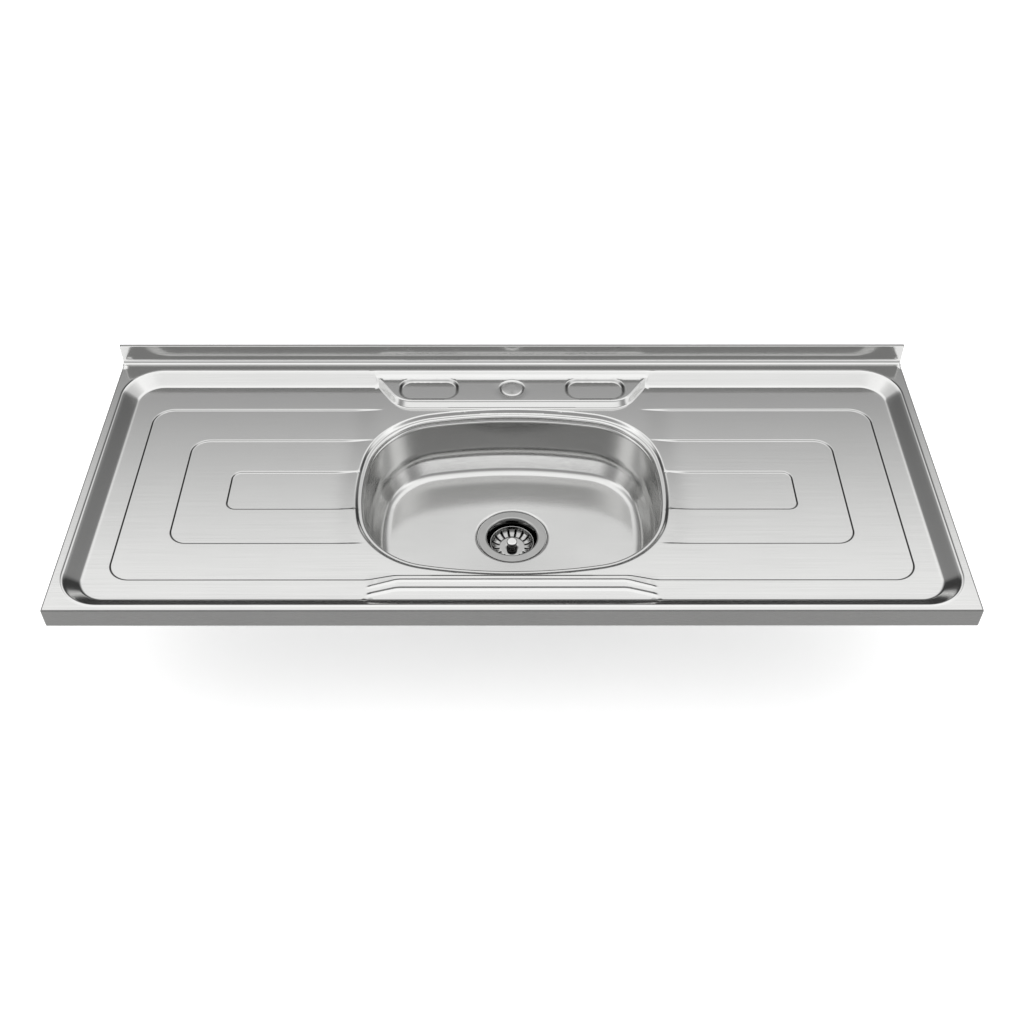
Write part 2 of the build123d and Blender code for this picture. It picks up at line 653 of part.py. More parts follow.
def coupling_nut():
    """The ribbed nut that holds the tailpiece's flange against the spud."""
    top = SPUD_END_Z + COUPLING_GRIP
    lip_top = TAIL_FLANGE_Z - TAIL_FLANGE_THICKNESS
    thread = SPUD_DIAMETER / 2 + THREAD_CLEARANCE
    passage = TAIL_DIAMETER / 2 + TAIL_NECK + THREAD_CLEARANCE
    outside = COUPLING_DIAMETER / 2 - RIB_HEIGHT
    nut = turned([
        (passage, lip_top - COUPLING_LIP),
        (outside, lip_top - COUPLING_LIP),
        (outside, top),
        (thread, top),
        (thread, lip_top),
        (passage, lip_top),
    ])
    rib_circle = (COUPLING_DIAMETER - RIB_DIAMETER) / 2
    ribs = PolarLocations(rib_circle, COUPLING_RIBS) * Circle(RIB_DIAMETER / 2)
    sleeve = Circle(outside - THREAD_CLEARANCE)
    for rib in ribs:
        nut += prism(Pos(0, WASTE_Y) * (rib - sleeve), lip_top - COUPLING_LIP, top)
    return nut


# ------------------------------------------------------------------ basket

def basket():
    """The slotted basket: a curved wall, a flat floor and a rolled rim."""
    rim = BASKET_DIAMETER / 2 - BASKET_BEAD / 2
    floor = BASKET_FLOOR_DIAMETER / 2
    wall_top = BASKET_RIM_Z - BASKET_BEAD / 2
    bulge = (floor + (rim - floor) * BASKET_BULGE_OUT, BASKET_FLOOR_Z + BASKET_DEPTH * BASKET_BULGE_UP)
    hole = STEM_SPIGOT / 2 + STEM_CLEARANCE
    line = Polyline((hole, BASKET_FLOOR_Z), (floor, BASKET_FLOOR_Z))
    line += ThreePointArc((floor, BASKET_FLOOR_Z), bulge, (rim, wall_top))
    shell = Plane.XZ * offset(line, BASKET_SHEET / 2, side=Side.BOTH)
    body = revolve(make_face(shell.edges()), Axis.Z)
    body -= Pos(0, 0, BASKET_FLOOR_Z) * Cylinder(hole, BASKET_SHEET + 2 * OVERCUT)
    slot_length = SLOT_OUTER - SLOT_INNER
    for index in range(BASKET_SLOTS):
        slot = Pos((SLOT_OUTER + SLOT_INNER) / 2, 0) * SlotOverall(slot_length, SLOT_WIDTH)
        slot = Rot(0, 0, (index + 0.5) * 360 / BASKET_SLOTS) * slot
        body -= prism(slot, BASKET_FLOOR_Z - OVERCUT, BASKET_RIM_Z)
    bead_ring = Pos(0, 0, wall_top) * Torus(rim, BASKET_BEAD / 2)
    return Pos(0, WASTE_Y) * (body + bead_ring)


def basket_knob():
    """The knob that lifts the basket: a neck under a domed head."""
    standing = (Align.CENTER, Align.CENTER, Align.MIN)
    neck_height = KNOB_HEIGHT - KNOB_CAP
    head = Cylinder(KNOB_DIAMETER / 2, KNOB_CAP, align=standing)
    head = fillet(head.edges().group_by(Axis.Z)[-1], KNOB_EDGE_RADIUS)
    knob = Cylinder(KNOB_NECK / 2, neck_height, align=standing) + Pos(0, 0, neck_height) * head
    return Pos(0, WASTE_Y, BASKET_FLOOR_Z + BASKET_SHEET / 2) * knob


def on_stem(diameter, bottom, top):
    """A round plate on the basket's stem."""
    return ring(diameter, STEM_DIAMETER + 2 * STEM_CLEARANCE, bottom, top)


def basket_stem():
    """The stem: through the basket's floor, a shoulder below it, and a riveted head."""
    radius = STEM_DIAMETER / 2
    spigot = STEM_SPIGOT / 2
    shoulder = STEM_SHOULDER / 2
    head = STEM_HEAD / 2
    shoulder_top = BASKET_FLOOR_Z - BASKET_SHEET / 2
    return turned([
        (0, shoulder_top + BASKET_SHEET),
        (spigot, shoulder_top + BASKET_SHEET),
        (spigot, shoulder_top),
        (shoulder, shoulder_top),
        (shoulder, RETAINER_TOP_Z),
        (radius, RETAINER_TOP_Z),
        (radius, CLIP_BOTTOM_Z),
        (head, CLIP_BOTTOM_Z),
        (head, CLIP_BOTTOM_Z - STEM_HEAD_HEIGHT),
        (0, CLIP_BOTTOM_Z - STEM_HEAD_HEIGHT),
    ])


def stopper_seal():
    """The rubber stopper that closes the outlet when the basket is pushed down."""
    seal = on_stem(SEAL_DIAMETER, SEAL_BOTTOM_Z, SEAL_TOP_Z)
    return chamfer(circles_at(seal, SEAL_TOP_Z)[-1], SEAL_LIP)


def stem_clip():
    """The spring clip that grips in the hub of the crossbar."""
    clip = on_stem(CLIP_DIAMETER, CLIP_BOTTOM_Z, WASHER_BOTTOM_Z)
    clip = fillet(circles_at(clip, CLIP_BOTTOM_Z)[-1], CLIP_EDGE)
    return fillet(circles_at(clip, WASHER_BOTTOM_Z)[-1], CLIP_EDGE)


# ------------------------------------------------------------------ all pieces

GASKET_BORE = CUP_DIAMETER + 2 * GASKET_CLEARANCE

pieces = {
    "sink_top": sink_top(),
    "bowl": bowl(),
    "waste_cup": waste_cup(),
    "flange_seal": ring(FLANGE_DIAMETER, GASKET_BORE, SEAT_Z, FLANGE_BOTTOM_Z),
    "bowl_gasket": ring(GASKET_DIAMETER, GASKET_BORE, UNDER_GASKET_Z, UNDER_SEAT_Z),
    "friction_ring": ring(GASKET_DIAMETER, GASKET_BORE, LOCK_NUT_Z, UNDER_GASKET_Z),
    "lock_nut": lock_nut(),
    "outlet_washer": ring(SPUD_DIAMETER, TAIL_DIAMETER, TAIL_FLANGE_Z, SPUD_END_Z),
    "tailpiece": tailpiece(),
    "coupling_nut": coupling_nut(),
    "basket": basket(),
    "basket_knob": basket_knob(),
    "basket_stem": basket_stem(),
    "stopper_retainer": on_stem(RETAINER_DIAMETER, SEAL_TOP_Z, RETAINER_TOP_Z),
    "stopper_seal": stopper_seal(),
    "stopper_washer": on_stem(WASHER_DIAMETER, WASHER_BOTTOM_Z, SEAL_BOTTOM_Z),
    "stem_clip": stem_clip(),
}
for side, side_name in ((-1, "left"), (1, "right")):
    pieces[f"bowl_pad_{side_name}"] = bowl_pad(side)
    pieces[f"drainboard_pad_{side_name}"] = drainboard_pad(side)
    for row, row_name in ((-1, "front"), (1, "rear")):
        pieces[f"rail_{row_name}_{side_name}"] = rail(side, row)
        pieces[f"bracket_{row_name}_{side_name}"] = bracket(side, row)

os.makedirs("parts", exist_ok=True)
for name, piece in pieces.items():
    export_step(piece, f"parts/{name}.step")
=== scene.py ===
import logging
import math
from dataclasses import dataclass, field
from enum import Enum
from functools import partial
from typing import Callable, Sequence

import bpy
import numpy as np
from bpy.types import ID, Material, Node, NodeSocket, NodeTree, Object
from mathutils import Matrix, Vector
from mathutils.geometry import delaunay_2d_cdt


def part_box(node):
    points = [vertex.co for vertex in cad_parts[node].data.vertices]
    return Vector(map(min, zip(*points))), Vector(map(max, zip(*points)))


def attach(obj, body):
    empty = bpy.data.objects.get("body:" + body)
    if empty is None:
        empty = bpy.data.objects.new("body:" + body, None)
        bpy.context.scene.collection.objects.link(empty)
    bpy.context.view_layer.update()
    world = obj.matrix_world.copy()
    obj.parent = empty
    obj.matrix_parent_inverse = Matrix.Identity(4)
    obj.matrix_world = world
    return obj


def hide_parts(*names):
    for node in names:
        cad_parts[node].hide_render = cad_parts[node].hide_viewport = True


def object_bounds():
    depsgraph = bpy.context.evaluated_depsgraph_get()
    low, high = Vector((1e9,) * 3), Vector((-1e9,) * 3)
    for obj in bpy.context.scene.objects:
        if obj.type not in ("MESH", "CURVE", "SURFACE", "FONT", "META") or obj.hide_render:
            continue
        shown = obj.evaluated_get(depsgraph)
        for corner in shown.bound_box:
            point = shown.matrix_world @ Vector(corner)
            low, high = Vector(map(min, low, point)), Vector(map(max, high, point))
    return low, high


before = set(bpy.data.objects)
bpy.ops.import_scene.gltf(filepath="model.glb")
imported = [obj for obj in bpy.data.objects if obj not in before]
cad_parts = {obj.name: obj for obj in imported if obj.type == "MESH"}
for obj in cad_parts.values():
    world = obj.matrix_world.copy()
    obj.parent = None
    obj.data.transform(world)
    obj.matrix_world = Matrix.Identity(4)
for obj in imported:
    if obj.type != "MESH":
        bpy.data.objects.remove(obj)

# A lay-on stainless kitchen sink with two drainboards. Sizes are in millimetres and
# become metres as they go into a mesh. X runs to the right, Y to the wall, Z up. A
# distance called "from the front" is measured from the front apron towards the wall.

CAD_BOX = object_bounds()
LOG = logging.getLogger("kitchen_sink")
MM = 0.001
SNAP = 8192                       # parts of a millimetre, which single precision holds exactly
TINY = 1e-3                       # millimetres that nobody sees
BOWL_STEP = 3.0                   # from point to point round the bowl, on each surface there
PAST_ARC = (1.25, 0.2)            # where a profile's flat begins: times its arc's reach, and more
DETAIL = 3.0                      # octaves of every noise
NOISE_RANGE = (0.3, 0.7)          # where most of a noise's values lie
Array = np.ndarray
Pairs = tuple[tuple[float, float], ...]

# the low and the high corner of the boxes of five CAD nodes
TOP, BOWL, CUP, BASKET, KNOB = (
    np.array(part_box(node)) / MM for node in ("sink_top", "bowl", "waste_cup", "basket", "basket_knob"))

WIDTH = float(TOP[1, 0] - TOP[0, 0])
FRONT_Y = float(TOP[0, 1])
UPSTAND_LIP = 5.0
DEPTH = float(TOP[1, 1] - TOP[0, 1]) - UPSTAND_LIP
UPSTAND_HEIGHT = 32.0
RIM_Z = float(TOP[1, 2]) - UPSTAND_HEIGHT
SHEET = 0.8
COLLAR_Z = float(BOWL[1, 2])
BOWL_Y = float(BOWL[0, 1] + BOWL[1, 1]) / 2
WASTE_Y = float(CUP[0, 1] + CUP[1, 1]) / 2


# ------------------------------------------------------------------ curves and surfaces

def eased(x: Array, radius: float) -> Array:
    """0 below zero and x above it, joined by a parabola from -radius to radius."""
    return np.where(x > radius, x, (np.clip(x, -radius, radius) + radius) ** 2 / (4 * radius))


def ramp(x: Array, run: float, radius: float) -> Array:
    """A straight ramp from 0 at x = 0 to 1 at x = run, its bends eased over radius."""
    return (eased(x, radius) - eased(x - run, radius)) / run


def swell(x: Array, half_width: float) -> Array:
    """A smooth bump of height 1 at x = 0 that ends at half_width: (1 - (x/h)^2)^2."""
    return (1 - np.clip(x / half_width, -1, 1) ** 2) ** 2


def joined(a: Array, b: Array, radius: float) -> Array:
    """The larger of two heights, with the crease between them rounded by a parabola."""
    near = np.clip(1 - np.abs(a - b) / radius, 0, 1)
    return np.maximum(a, b) + radius / 4 * near ** 2


def smooth_step(x: Array) -> Array:
    """0 below zero, 1 above one, and 3x^2 - 2x^3 between."""
    t = np.clip(x, 0, 1)
    return t * t * (3 - 2 * t)


def snapped(points: Array) -> Array:
    """Points moved to the snapping grid."""
    return np.round(points * SNAP) / SNAP


def around(angles: Array) -> Array:
    """Unit directions (cos a, sin a) at angles in radians."""
    return np.stack([np.cos(angles), np.sin(angles)], axis=-1)


def crossed(x: Array, y: Array) -> Array:
    """All pairs of an x and a y, one to a row."""
    return np.stack(np.meshgrid(x, y), axis=-1).reshape(-1, 2)


def raised(rows: Array, heights: Array) -> Array:
    """Rows of flat points with heights as a third coordinate."""
    return np.concatenate([rows, np.broadcast_to(heights, rows.shape[:2] + (1,))], axis=2)


@dataclass(frozen=True)
class Path:
    """Points along a line, with the unit normal that points out of it at each."""

    points: Array
    normals: Array

    def moved_out(self, distances: Sequence[float]) -> Array:
        """The line moved out by each distance: one row of points for each."""
        return self.points[None] + np.asarray(distances, float)[:, None, None] * self.normals[None]

    def beside(self, distances: Sequence[float]) -> Array:
        """The line moved out by each distance, as one list of points."""
        return self.moved_out(distances).reshape(-1, 2)

    def swept(self, profile: Array) -> Array:
        """A profile of outs and heights carried along it, P(s) + out x N(s): a row for each."""
        return raised(self.moved_out(profile[:, 0]), profile[:, 1:, None])


@dataclass(frozen=True)
class Arc:
    """One arc of an outline: the normal turns from start to end, in degrees."""

    centre: tuple[float, float]
    radius: float
    start: float
    end: float


def path_along(arcs: Sequence[Arc], arc_step: float, run_step: float, closed: bool = True) -> Path:
    """A line through arcs, with straight runs between them.

    On an arc a point is its centre + radius x normal. On a run the normal is that of
    the arc before it.

    Args:
        arcs: The arcs in order. One of radius 0 is a corner or an end.
        arc_step: Longest distance between points of an arc.
        run_step: Longest distance between points of a run.
        closed: Whether the last arc runs on to the first.

    Returns:
        The line.
    """
    points, normals = [], []
    for index, arc in enumerate(arcs):
        turn = math.radians(abs(arc.end - arc.start))
        count = max(2, math.ceil(max(arc.radius, 1) * turn / arc_step) + 1) if turn else 1
        normal = around(np.radians(np.linspace(arc.start, arc.end, count)))
        point = np.asarray(arc.centre) + arc.radius * normal
        points.append(point)
        normals.append(normal)
        if index + 1 == len(arcs) and not closed:
            break
        following = arcs[(index + 1) % len(arcs)]
        target = np.asarray(following.centre) + following.radius * around(np.radians(following.start))
        length = float(np.hypot(*(target - point[-1])))
        if length < arc_step / 4:
            points[-1], normals[-1] = point[:-1], normal[:-1]
            continue
        inner = max(1, math.ceil(length / run_step))
        share = (np.arange(1, inner) / inner)[:, None]
        points.append(point[-1] + share * (target - point[-1]))
        normals.append(np.repeat(normal[-1:], inner - 1, axis=0))
    return Path(np.concatenate(points), np.concatenate(normals))


@dataclass(frozen=True)
class RoundedRectangle:
    """A rounded rectangle about a centre, and the distance of a place from it."""

    centre: tuple[float, float]
    half_width: float
    half_depth: float
    radius: float

    def distance(self, x: Array, y: Array) -> Array:
        """How far places lie outside it, negative inside.

        Args:
            x: Places across.
            y: Places towards the wall.

        Returns:
            The distances.
        """
        across = np.abs(x - self.centre[0]) - self.half_width + self.radius
        along = np.abs(y - self.centre[1]) - self.half_depth + self.radius
        beyond = np.hypot(np.maximum(across, 0), np.maximum(along, 0))
        return beyond + np.minimum(np.maximum(across, along), 0) - self.radius

    def path(self, arc_step: float, run_step: float) -> Path:
        """Its outline, from the right side anticlockwise.

        Args:
            arc_step: Longest distance between points of a corner.
            run_step: Longest distance between points of a side.

        Returns:
            The outline.
        """
        across, along = self.half_width - self.radius, self.half_depth - self.radius
        arcs = [
            Arc((self.centre[0] + i * across, self.centre[1] + j * along), self.radius, start, start + 90)
            for i, j, start in ((1, 1, 0), (-1, 1, 90), (-1, -1, 180), (1, -1, 270))
        ]
        return path_along(arcs, arc_step, run_step)


def rectangle_between(half_width: float, front: float, back: float, radius: float) -> RoundedRectangle:
    """A rounded rectangle between two distances from the front."""
    return RoundedRectangle((0.0, FRONT_Y + (front + back) / 2), half_width, (back - front) / 2, radius)


@dataclass(frozen=True)
class BowlOutline:
    """The bowl's opening: two wide arcs each way, joined by tighter corner arcs."""

    half_width: float = 210.1
    half_depth: float = 154.8
    side_radius: float = 321.7
    front_radius: float = 643.3
    corner_radius: float = 108.6

    def corner(self) -> tuple[float, float, float, float]:
        """Where the corner arc of the first quarter is.

        Its centre lies side_radius - corner_radius from the side arc's centre and
        front_radius - corner_radius from the front arc's, so the arcs meet smoothly.

        Returns:
            The centre's x and y from the middle, and the angles in degrees where it
            meets the side arc and the front arc.
        """
        side = np.array([self.half_width - self.side_radius, 0.0])
        front = np.array([0.0, self.half_depth - self.front_radius])
        reach = self.side_radius - self.corner_radius
        length = float(np.hypot(*(front - side)))
        unit = (front - side) / length
        along = (length ** 2 + reach ** 2 - (self.front_radius - self.corner_radius) ** 2) / (2 * length)
        aside = math.sqrt(reach ** 2 - along ** 2)
        centre = side + along * unit + aside * np.array([-unit[1], unit[0]])
        low, high = (math.degrees(math.atan2(*(centre - arc)[::-1])) for arc in (side, front))
        return float(centre[0]), float(centre[1]), low, high

    def distance(self, x: Array, y: Array) -> Array:
        """How far places lie outside the opening, negative inside.

        Each quarter is measured from the centre of the arc whose sector holds the
        place, less that arc's radius.

        Args:
            x: Places across.
            y: Places towards the wall.

        Returns:
            The distances.
        """
        across, along = np.abs(x), np.abs(y - BOWL_Y)
        corner_x, corner_y, low, high = self.corner()
        side_x = across - (self.half_width - self.side_radius)
        front_y = along - (self.half_depth - self.front_radius)
        from_side = np.hypot(side_x, along) - self.side_radius
        from_front = np.hypot(across, front_y) - self.front_radius
        from_corner = np.hypot(across - corner_x, along - corner_y) - self.corner_radius
        at_side = np.degrees(np.arctan2(along, side_x)) < low
        at_front = np.degrees(np.arctan2(front_y, across)) > high
        return np.where(at_side, from_side, np.where(at_front, from_front, from_corner))

    def path(self, step: float) -> Path:
        """The outline, from the middle of the right side anticlockwise.

        Args:
            step: Longest distance between points.

        Returns:
            The outline.
        """
        x, y, low, high = self.corner()
        side, front = self.half_width - self.side_radius, self.half_depth - self.front_radius
        radii = [self.side_radius, self.corner_radius, self.front_radius, self.corner_radius] * 2
        centres = np.array([(side, 0), (x, y), (0, front), (-x, y)])
        centres = np.concatenate([centres, -centres, centres[:1]]) + (0.0, BOWL_Y)
        turns = [0, low, high, 180 - high, 180 - low, 180 + low, 180 + high, 360 - high, 360 - low, 360]
        arcs = [
            Arc(tuple(centre), radius, start, end)
            for centre, radius, start, end in zip(centres, radii + radii[:1], turns, turns[1:])
        ]
        return path_along(arcs, step, step)


@dataclass(frozen=True)
class LedgeOutline:
    """The tap ledge: its front edge and two sides that lean out to the back."""

    front: float = 414.9
    half_front: float = 169.1
    half_back: float = 212.6
    back: float = 481.6
    radius: float = 38.0
    flare: float = 6.0            # how far the sides swing out at the back
    flare_run: float = 22.0

    def swing(self, y: Array) -> Array:
        """How far the sides have swung out at each place, by a parabola."""
        past = (y - FRONT_Y - self.back + self.flare_run) / self.flare_run
        return self.flare * np.clip(past, 0, 1) ** 2

    def lean(self) -> float:
        """Angle of the sides from straight back, in radians."""
        return math.atan2(self.half_back - self.half_front, self.back - self.front)

    def centre(self) -> tuple[float, float]:
        """Centre of the right corner's arc, radius inside both edges."""
        reach = self.radius * (1 / math.cos(self.lean()) - math.tan(self.lean()))
        return self.half_front - reach, FRONT_Y + self.front + self.radius

    def distance(self, x: Array, y: Array) -> Array:
        """How far places lie outside the front and the sides, negative inside.

        Args:
            x: Places across.
            y: Places towards the wall.

        Returns:
            The distances.
        """
        lean = self.lean()
        aside = np.abs(x) - self.swing(y)
        from_front = FRONT_Y + self.front - y
        from_side = (aside - self.half_front + math.tan(lean) * from_front) * math.cos(lean)
        centre_x, centre_y = self.centre()
        across, along = aside - centre_x, y - centre_y
        in_corner = (across >= 0) & (-across * math.sin(lean) - along * math.cos(lean) >= 0)
        from_corner = np.hypot(across, along) - self.radius
        return np.where(in_corner, from_corner, np.maximum(from_front, from_side))

    def path(self, step: float, reach: float) -> Path:
        """Its edge from the left back round to the right back, without the swing.

        Args:
            step: Longest distance between points.
            reach: How much further back than the ledge it begins and ends.

        Returns:
            The edge.
        """
        tilt = math.degrees(self.lean())
        x, y = self.centre()
        back_x, back_y = self.half_back + reach * math.tan(self.lean()), FRONT_Y + self.back + reach
        arcs = [
            Arc((-back_x, back_y), 0, 180 + tilt, 180 + tilt),
            Arc((-x, y), self.radius, 180 + tilt, 270),
            Arc((x, y), self.radius, 270, 360 - tilt),
            Arc((back_x, back_y), 0, 360 - tilt, 360 - tilt),
        ]
        return path_along(arcs, step, step, closed=False)


def rounded_profile(corners: Sequence[tuple[float, float, float]], arc_steps: int) -> Array:
    """A line through corners, each rounded by an arc that touches both sides.

    A point on the straight just before and after each arc keeps the shading flat there.

    Args:
        corners: For each corner its two coordinates and its radius.
        arc_steps: Number of steps of each arc.

    Returns:
        The points of the line, one row each.
    """
    places = np.array([corner[:2] for corner in corners])
    rows = [places[:1]]
    for before, place, after, (_, _, radius) in zip(places, places[1:], places[2:], corners[1:-1]):
        back, ahead = ((end - place) / np.hypot(*(end - place)) for end in (before, after))
        half = math.acos(float(np.clip(back @ ahead, -1, 1))) / 2
        if radius == 0 or half > math.radians(89.9):
            rows.append(place[None])
            continue
        middle = (back + ahead) / np.hypot(*(back + ahead))
        side = back - (back @ middle) * middle
        reach = radius / math.tan(half)
        first, last = (
            place + way * min(reach * PAST_ARC[0] + PAST_ARC[1], (reach + np.hypot(*(end - place))) / 2)
            for way, end in ((back, before), (ahead, after)))
        angles = np.linspace(half - math.pi / 2, math.pi / 2 - half, arc_steps + 1)[:, None]
        bend = -np.cos(angles) * middle - np.sin(angles) * side / np.hypot(*side)
        rows += [first[None], place + middle * radius / math.sin(half) + radius * bend, last[None]]
    return np.concatenate([*rows, places[-1:]])


def grid_triangles(rows: int, columns: int, closed: bool) -> Array:
    """Two triangles for each cell of a grid of points.

    Args:
        rows: Number of rows.
        columns: Points in each row.
        closed: Whether each row runs round to its start.

    Returns:
        Point numbers, three to a row.
    """
    index = np.arange(rows * columns).reshape(rows, columns)
    index = np.pad(index, ((0, 0), (0, int(closed))), mode="wrap")
    a, b, c, d = index[:-1, :-1], index[:-1, 1:], index[1:, 1:], index[1:, :-1]
    return np.concatenate([np.stack(cell, axis=-1).reshape(-1, 3) for cell in ((a, b, c), (a, c, d))])


# ------------------------------------------------------------------ finishes

def linear(hex_colour: str) -> tuple[float, float, float, float]:
    """The linear colour of an sRGB hex code, with full alpha."""
    shares = [int(hex_colour[i:i + 2], 16) / 255 for i in (1, 3, 5)]
    return (*(s / 12.92 if s <= 0.04045 else ((s + 0.055) / 1.055) ** 2.4 for s in shares), 1.0)


def empty_tree(owner: ID) -> NodeTree:
    """Turns on the nodes of a material or a world, and empties them.

    Args:
        owner: The material or world.

    Returns:
        Its node tree.
    """
    owner.use_nodes = True
    owner.node_tree.nodes.clear()
    return owner.node_tree


def add_node(tree: NodeTree, kind: str, sockets: dict | None = None, **settings: object) -> Node:
    """Adds a node, with its settings, its socket values and its incoming links.

    Args:
        tree: The node tree.
        kind: Blender's name of the node's type, without ShaderNode before it.
        sockets: For a socket's name or number its value, the output that is linked to
            it, or the node whose first output is.
        settings: The node's own settings.

    Returns:
        The node.
    """
    node = tree.nodes.new("ShaderNode" + kind)
    for key, value in settings.items():
        setattr(node, key, value)
    for key, value in (sockets or {}).items():
        source = value.outputs[0] if isinstance(value, Node) else value
        if isinstance(source, NodeSocket):
            tree.links.new(source, node.inputs[key])
        else:
            node.inputs[key].default_value = source
    return node


class Grain(Enum):
    """Which way a finish's fine marks run."""

    ACROSS = "along X"
    NONE = "no direction"


@dataclass(frozen=True)
class Finish:
    """What the eye sees of a surface: colour, gloss, fine marks, uneven patches and painted shade."""

    name: str
    colour: str
    colour_worn: str
    roughness: tuple[float, float]
    grain_width: float            # of a fine mark
    bump: float                   # depth of the marks
    patch: float                  # size of an uneven patch
    metal: float = 1.0
    grain: Grain = Grain.NONE
    grain_length: float = 1.0     # of marks that run across
    anisotropy: float = 0.0
    streaks: float = 0.3          # how much of the colour's change follows the grain
    painted_crease_shade: str | None = None   # colour of the painted shade on the pressed lines' faces
    painted_depth_shade: tuple[float, float, str] | None = None   # painted shade towards the bottom: heights where it starts and is full, and its colour

    def material(self) -> Material:
        """The finish as a material.

        Noise stretched along the grain drives a shallow bump and the roughness, and noise of the patch size
        shifts the colour a little. Painted shade darkens the colour on the pressed lines' faces, and towards
        the bottom below a given height.

        Returns:
            The material, made once and then used again.
        """
        known = bpy.data.materials.get(self.name)
        if known:
            return known
        made = bpy.data.materials.new(self.name)
        tree = empty_tree(made)
        place = add_node(tree, "TexCoord").outputs["Object"]
        width = 1 / (self.grain_width * MM)
        length = 1 / (self.grain_length * MM) if self.grain is Grain.ACROSS else width
        stretched = add_node(tree, "Mapping", {"Vector": place, "Scale": (length, width, width)})
        marks = add_node(tree, "TexNoise", {
            "Vector": stretched, "Scale": 1.0, "Detail": DETAIL, "Roughness": 0.6})
        patches = add_node(tree, "TexNoise", {
            "Vector": place, "Scale": 1 / (self.patch * MM), "Detail": DETAIL})
        ends = zip(("From Min", "From Max", "To Min", "To Max"), NOISE_RANGE + self.roughness)
        gloss = add_node(tree, "MapRange", {"Value": marks, **dict(ends)})
        layers = [(add_node(tree, "Mix", {0: self.streaks, 2: patches, 3: marks}), self.colour_worn)]
        # painted shade on the pressed lines' faces, as much as the mesh's attribute gives
        if self.painted_crease_shade:
            crease_shade = add_node(tree, "Attribute", attribute_name="painted_crease_shade")
            layers.append((crease_shade.outputs["Fac"], self.painted_crease_shade))
        # painted shade: the colour darkens towards the bottom, from one height down to a lower one
        if self.painted_depth_shade:
            start, full, shade_colour = self.painted_depth_shade
            height = add_node(tree, "SeparateXYZ", {0: place}).outputs["Z"]
            ends = {"Value": height, "From Min": start * MM, "From Max": full * MM}
            depth_shade = add_node(tree, "MapRange", ends, interpolation_type="SMOOTHSTEP")
            layers.append((depth_shade, shade_colour))
        colour = linear(self.colour)
        for share, over in layers:
            mixed = add_node(tree, "Mix", {0: share, 6: colour, 7: linear(over)}, data_type="RGBA")
            colour = mixed.outputs[2]
        relief = add_node(tree, "Bump", {"Strength": 1.0, "Distance": self.bump * MM, "Height": marks})
        surface = add_node(tree, "BsdfPrincipled", {
            "Metallic": self.metal, "Anisotropic": self.anisotropy,
            "Base Color": colour, "Roughness": gloss, "Normal": relief})
        if self.anisotropy:
            along = add_node(tree, "Tangent", direction_type="UV_MAP", uv_map="plan")
            tree.links.new(along.outputs[0], surface.inputs["Tangent"])
        add_node(tree, "OutputMaterial", {"Surface": surface})
        return made


# A pixel of the photograph covers about 1.3 mm of the top. Polish lines and skins that
# are really finer are drawn 0.6 to 1.6 mm wide, as coarse as they need to show.

# Stainless sheet with a fine linear polish from side to side: soft streaks of light, and near-black painted
# shade on the faces of the pressed lines that look to the sides or to the wall.
BRUSHED_SHEET = Finish(
    "stainless_steel_linear_polished", "#D8D8D7", "#C6C6C5", (0.10, 0.17), 1.1, 0.0022, 90.0,
    grain=Grain.ACROSS, grain_length=150.0, anisotropy=0.35, streaks=0.7, painted_crease_shade="#303030")
# Stainless sheet on the folded edges, duller, its colour set darker as painted shade on the apron.
SHADED_APRON_SHEET = Finish(
    "stainless_steel_apron_painted_shade", "#7C7C7B", "#767675", (0.24, 0.32), 0.8, 0.0012, 70.0,
    grain=Grain.ACROSS, grain_length=40.0)
# Drawn stainless, polished by hand after drawing: clearer reflections, faint cloudiness.
DRAWN_SHEET = Finish(
    "stainless_steel_drawn_and_polished", "#CFCFCE", "#C5C5C4", (0.15, 0.21), 1.4, 0.0012, 60.0,
    grain=Grain.ACROSS, grain_length=60.0)
# Pressed and buffed stainless of the waste: almost a mirror on the flange, its colour set darker as painted
# shade, and below it painted shade that darkens the inside of the cup towards the bottom.
BUFFED_CUP = Finish(
    "stainless_steel_pressed_and_buffed", "#A8A8A7", "#9C9C9B", (0.06, 0.11), 0.9, 0.0006, 14.0,
    painted_depth_shade=(CUP[1, 2] - 3.0, CUP[1, 2] - 9.0, "#3A3A39"))
# Buffed stainless of the basket: the same gloss, its colour set a little greyer as painted shade for its
# place down in the cup.
BUFFED_BASKET = Finish(
    "stainless_steel_basket_buffed", "#B2B2B1", "#A6A6A5", (0.06, 0.12), 0.9, 0.0006, 14.0)
# Turned and polished knob: a bright cap, with painted shade that darkens the undercut neck below it.
TURNED_KNOB = Finish(
    "stainless_steel_turned_and_polished", "#DADAD9", "#D2D2D1", (0.05, 0.09), 0.6, 0.0004, 8.0,
    painted_depth_shade=(KNOB[1, 2] - 0.6, KNOB[1, 2] - 2.6, "#3E3E3D"))
# Spring steel as rolled: darker and duller than the rest.
SPRING_STEEL = Finish("spring_steel_rolled", "#A9A9A8", "#98989A", (0.25, 0.38), 0.7, 0.001, 6.0)
# Brass tube with bright chrome plating, faintly wavy from drawing.
CHROMED_BRASS = Finish("brass_chrome_plated", "#DADBDD", "#D2D3D6", (0.05, 0.10), 5.0, 0.001, 30.0)
# Hot-dip zinc on pressed steel: dull grey with a faint spangle.
ZINC_COAT = Finish("steel_hot_dip_galvanised", "#A4A8AC", "#8E9397", (0.38, 0.55), 7.0, 0.004, 8.0)
# Moulded black rubber: dull, with a little bloom.
BLACK_RUBBER = Finish("rubber_moulded_black", "#1C1C1D", "#2A2A2B", (0.55, 0.72), 0.8, 0.006, 12.0, metal=0.0)
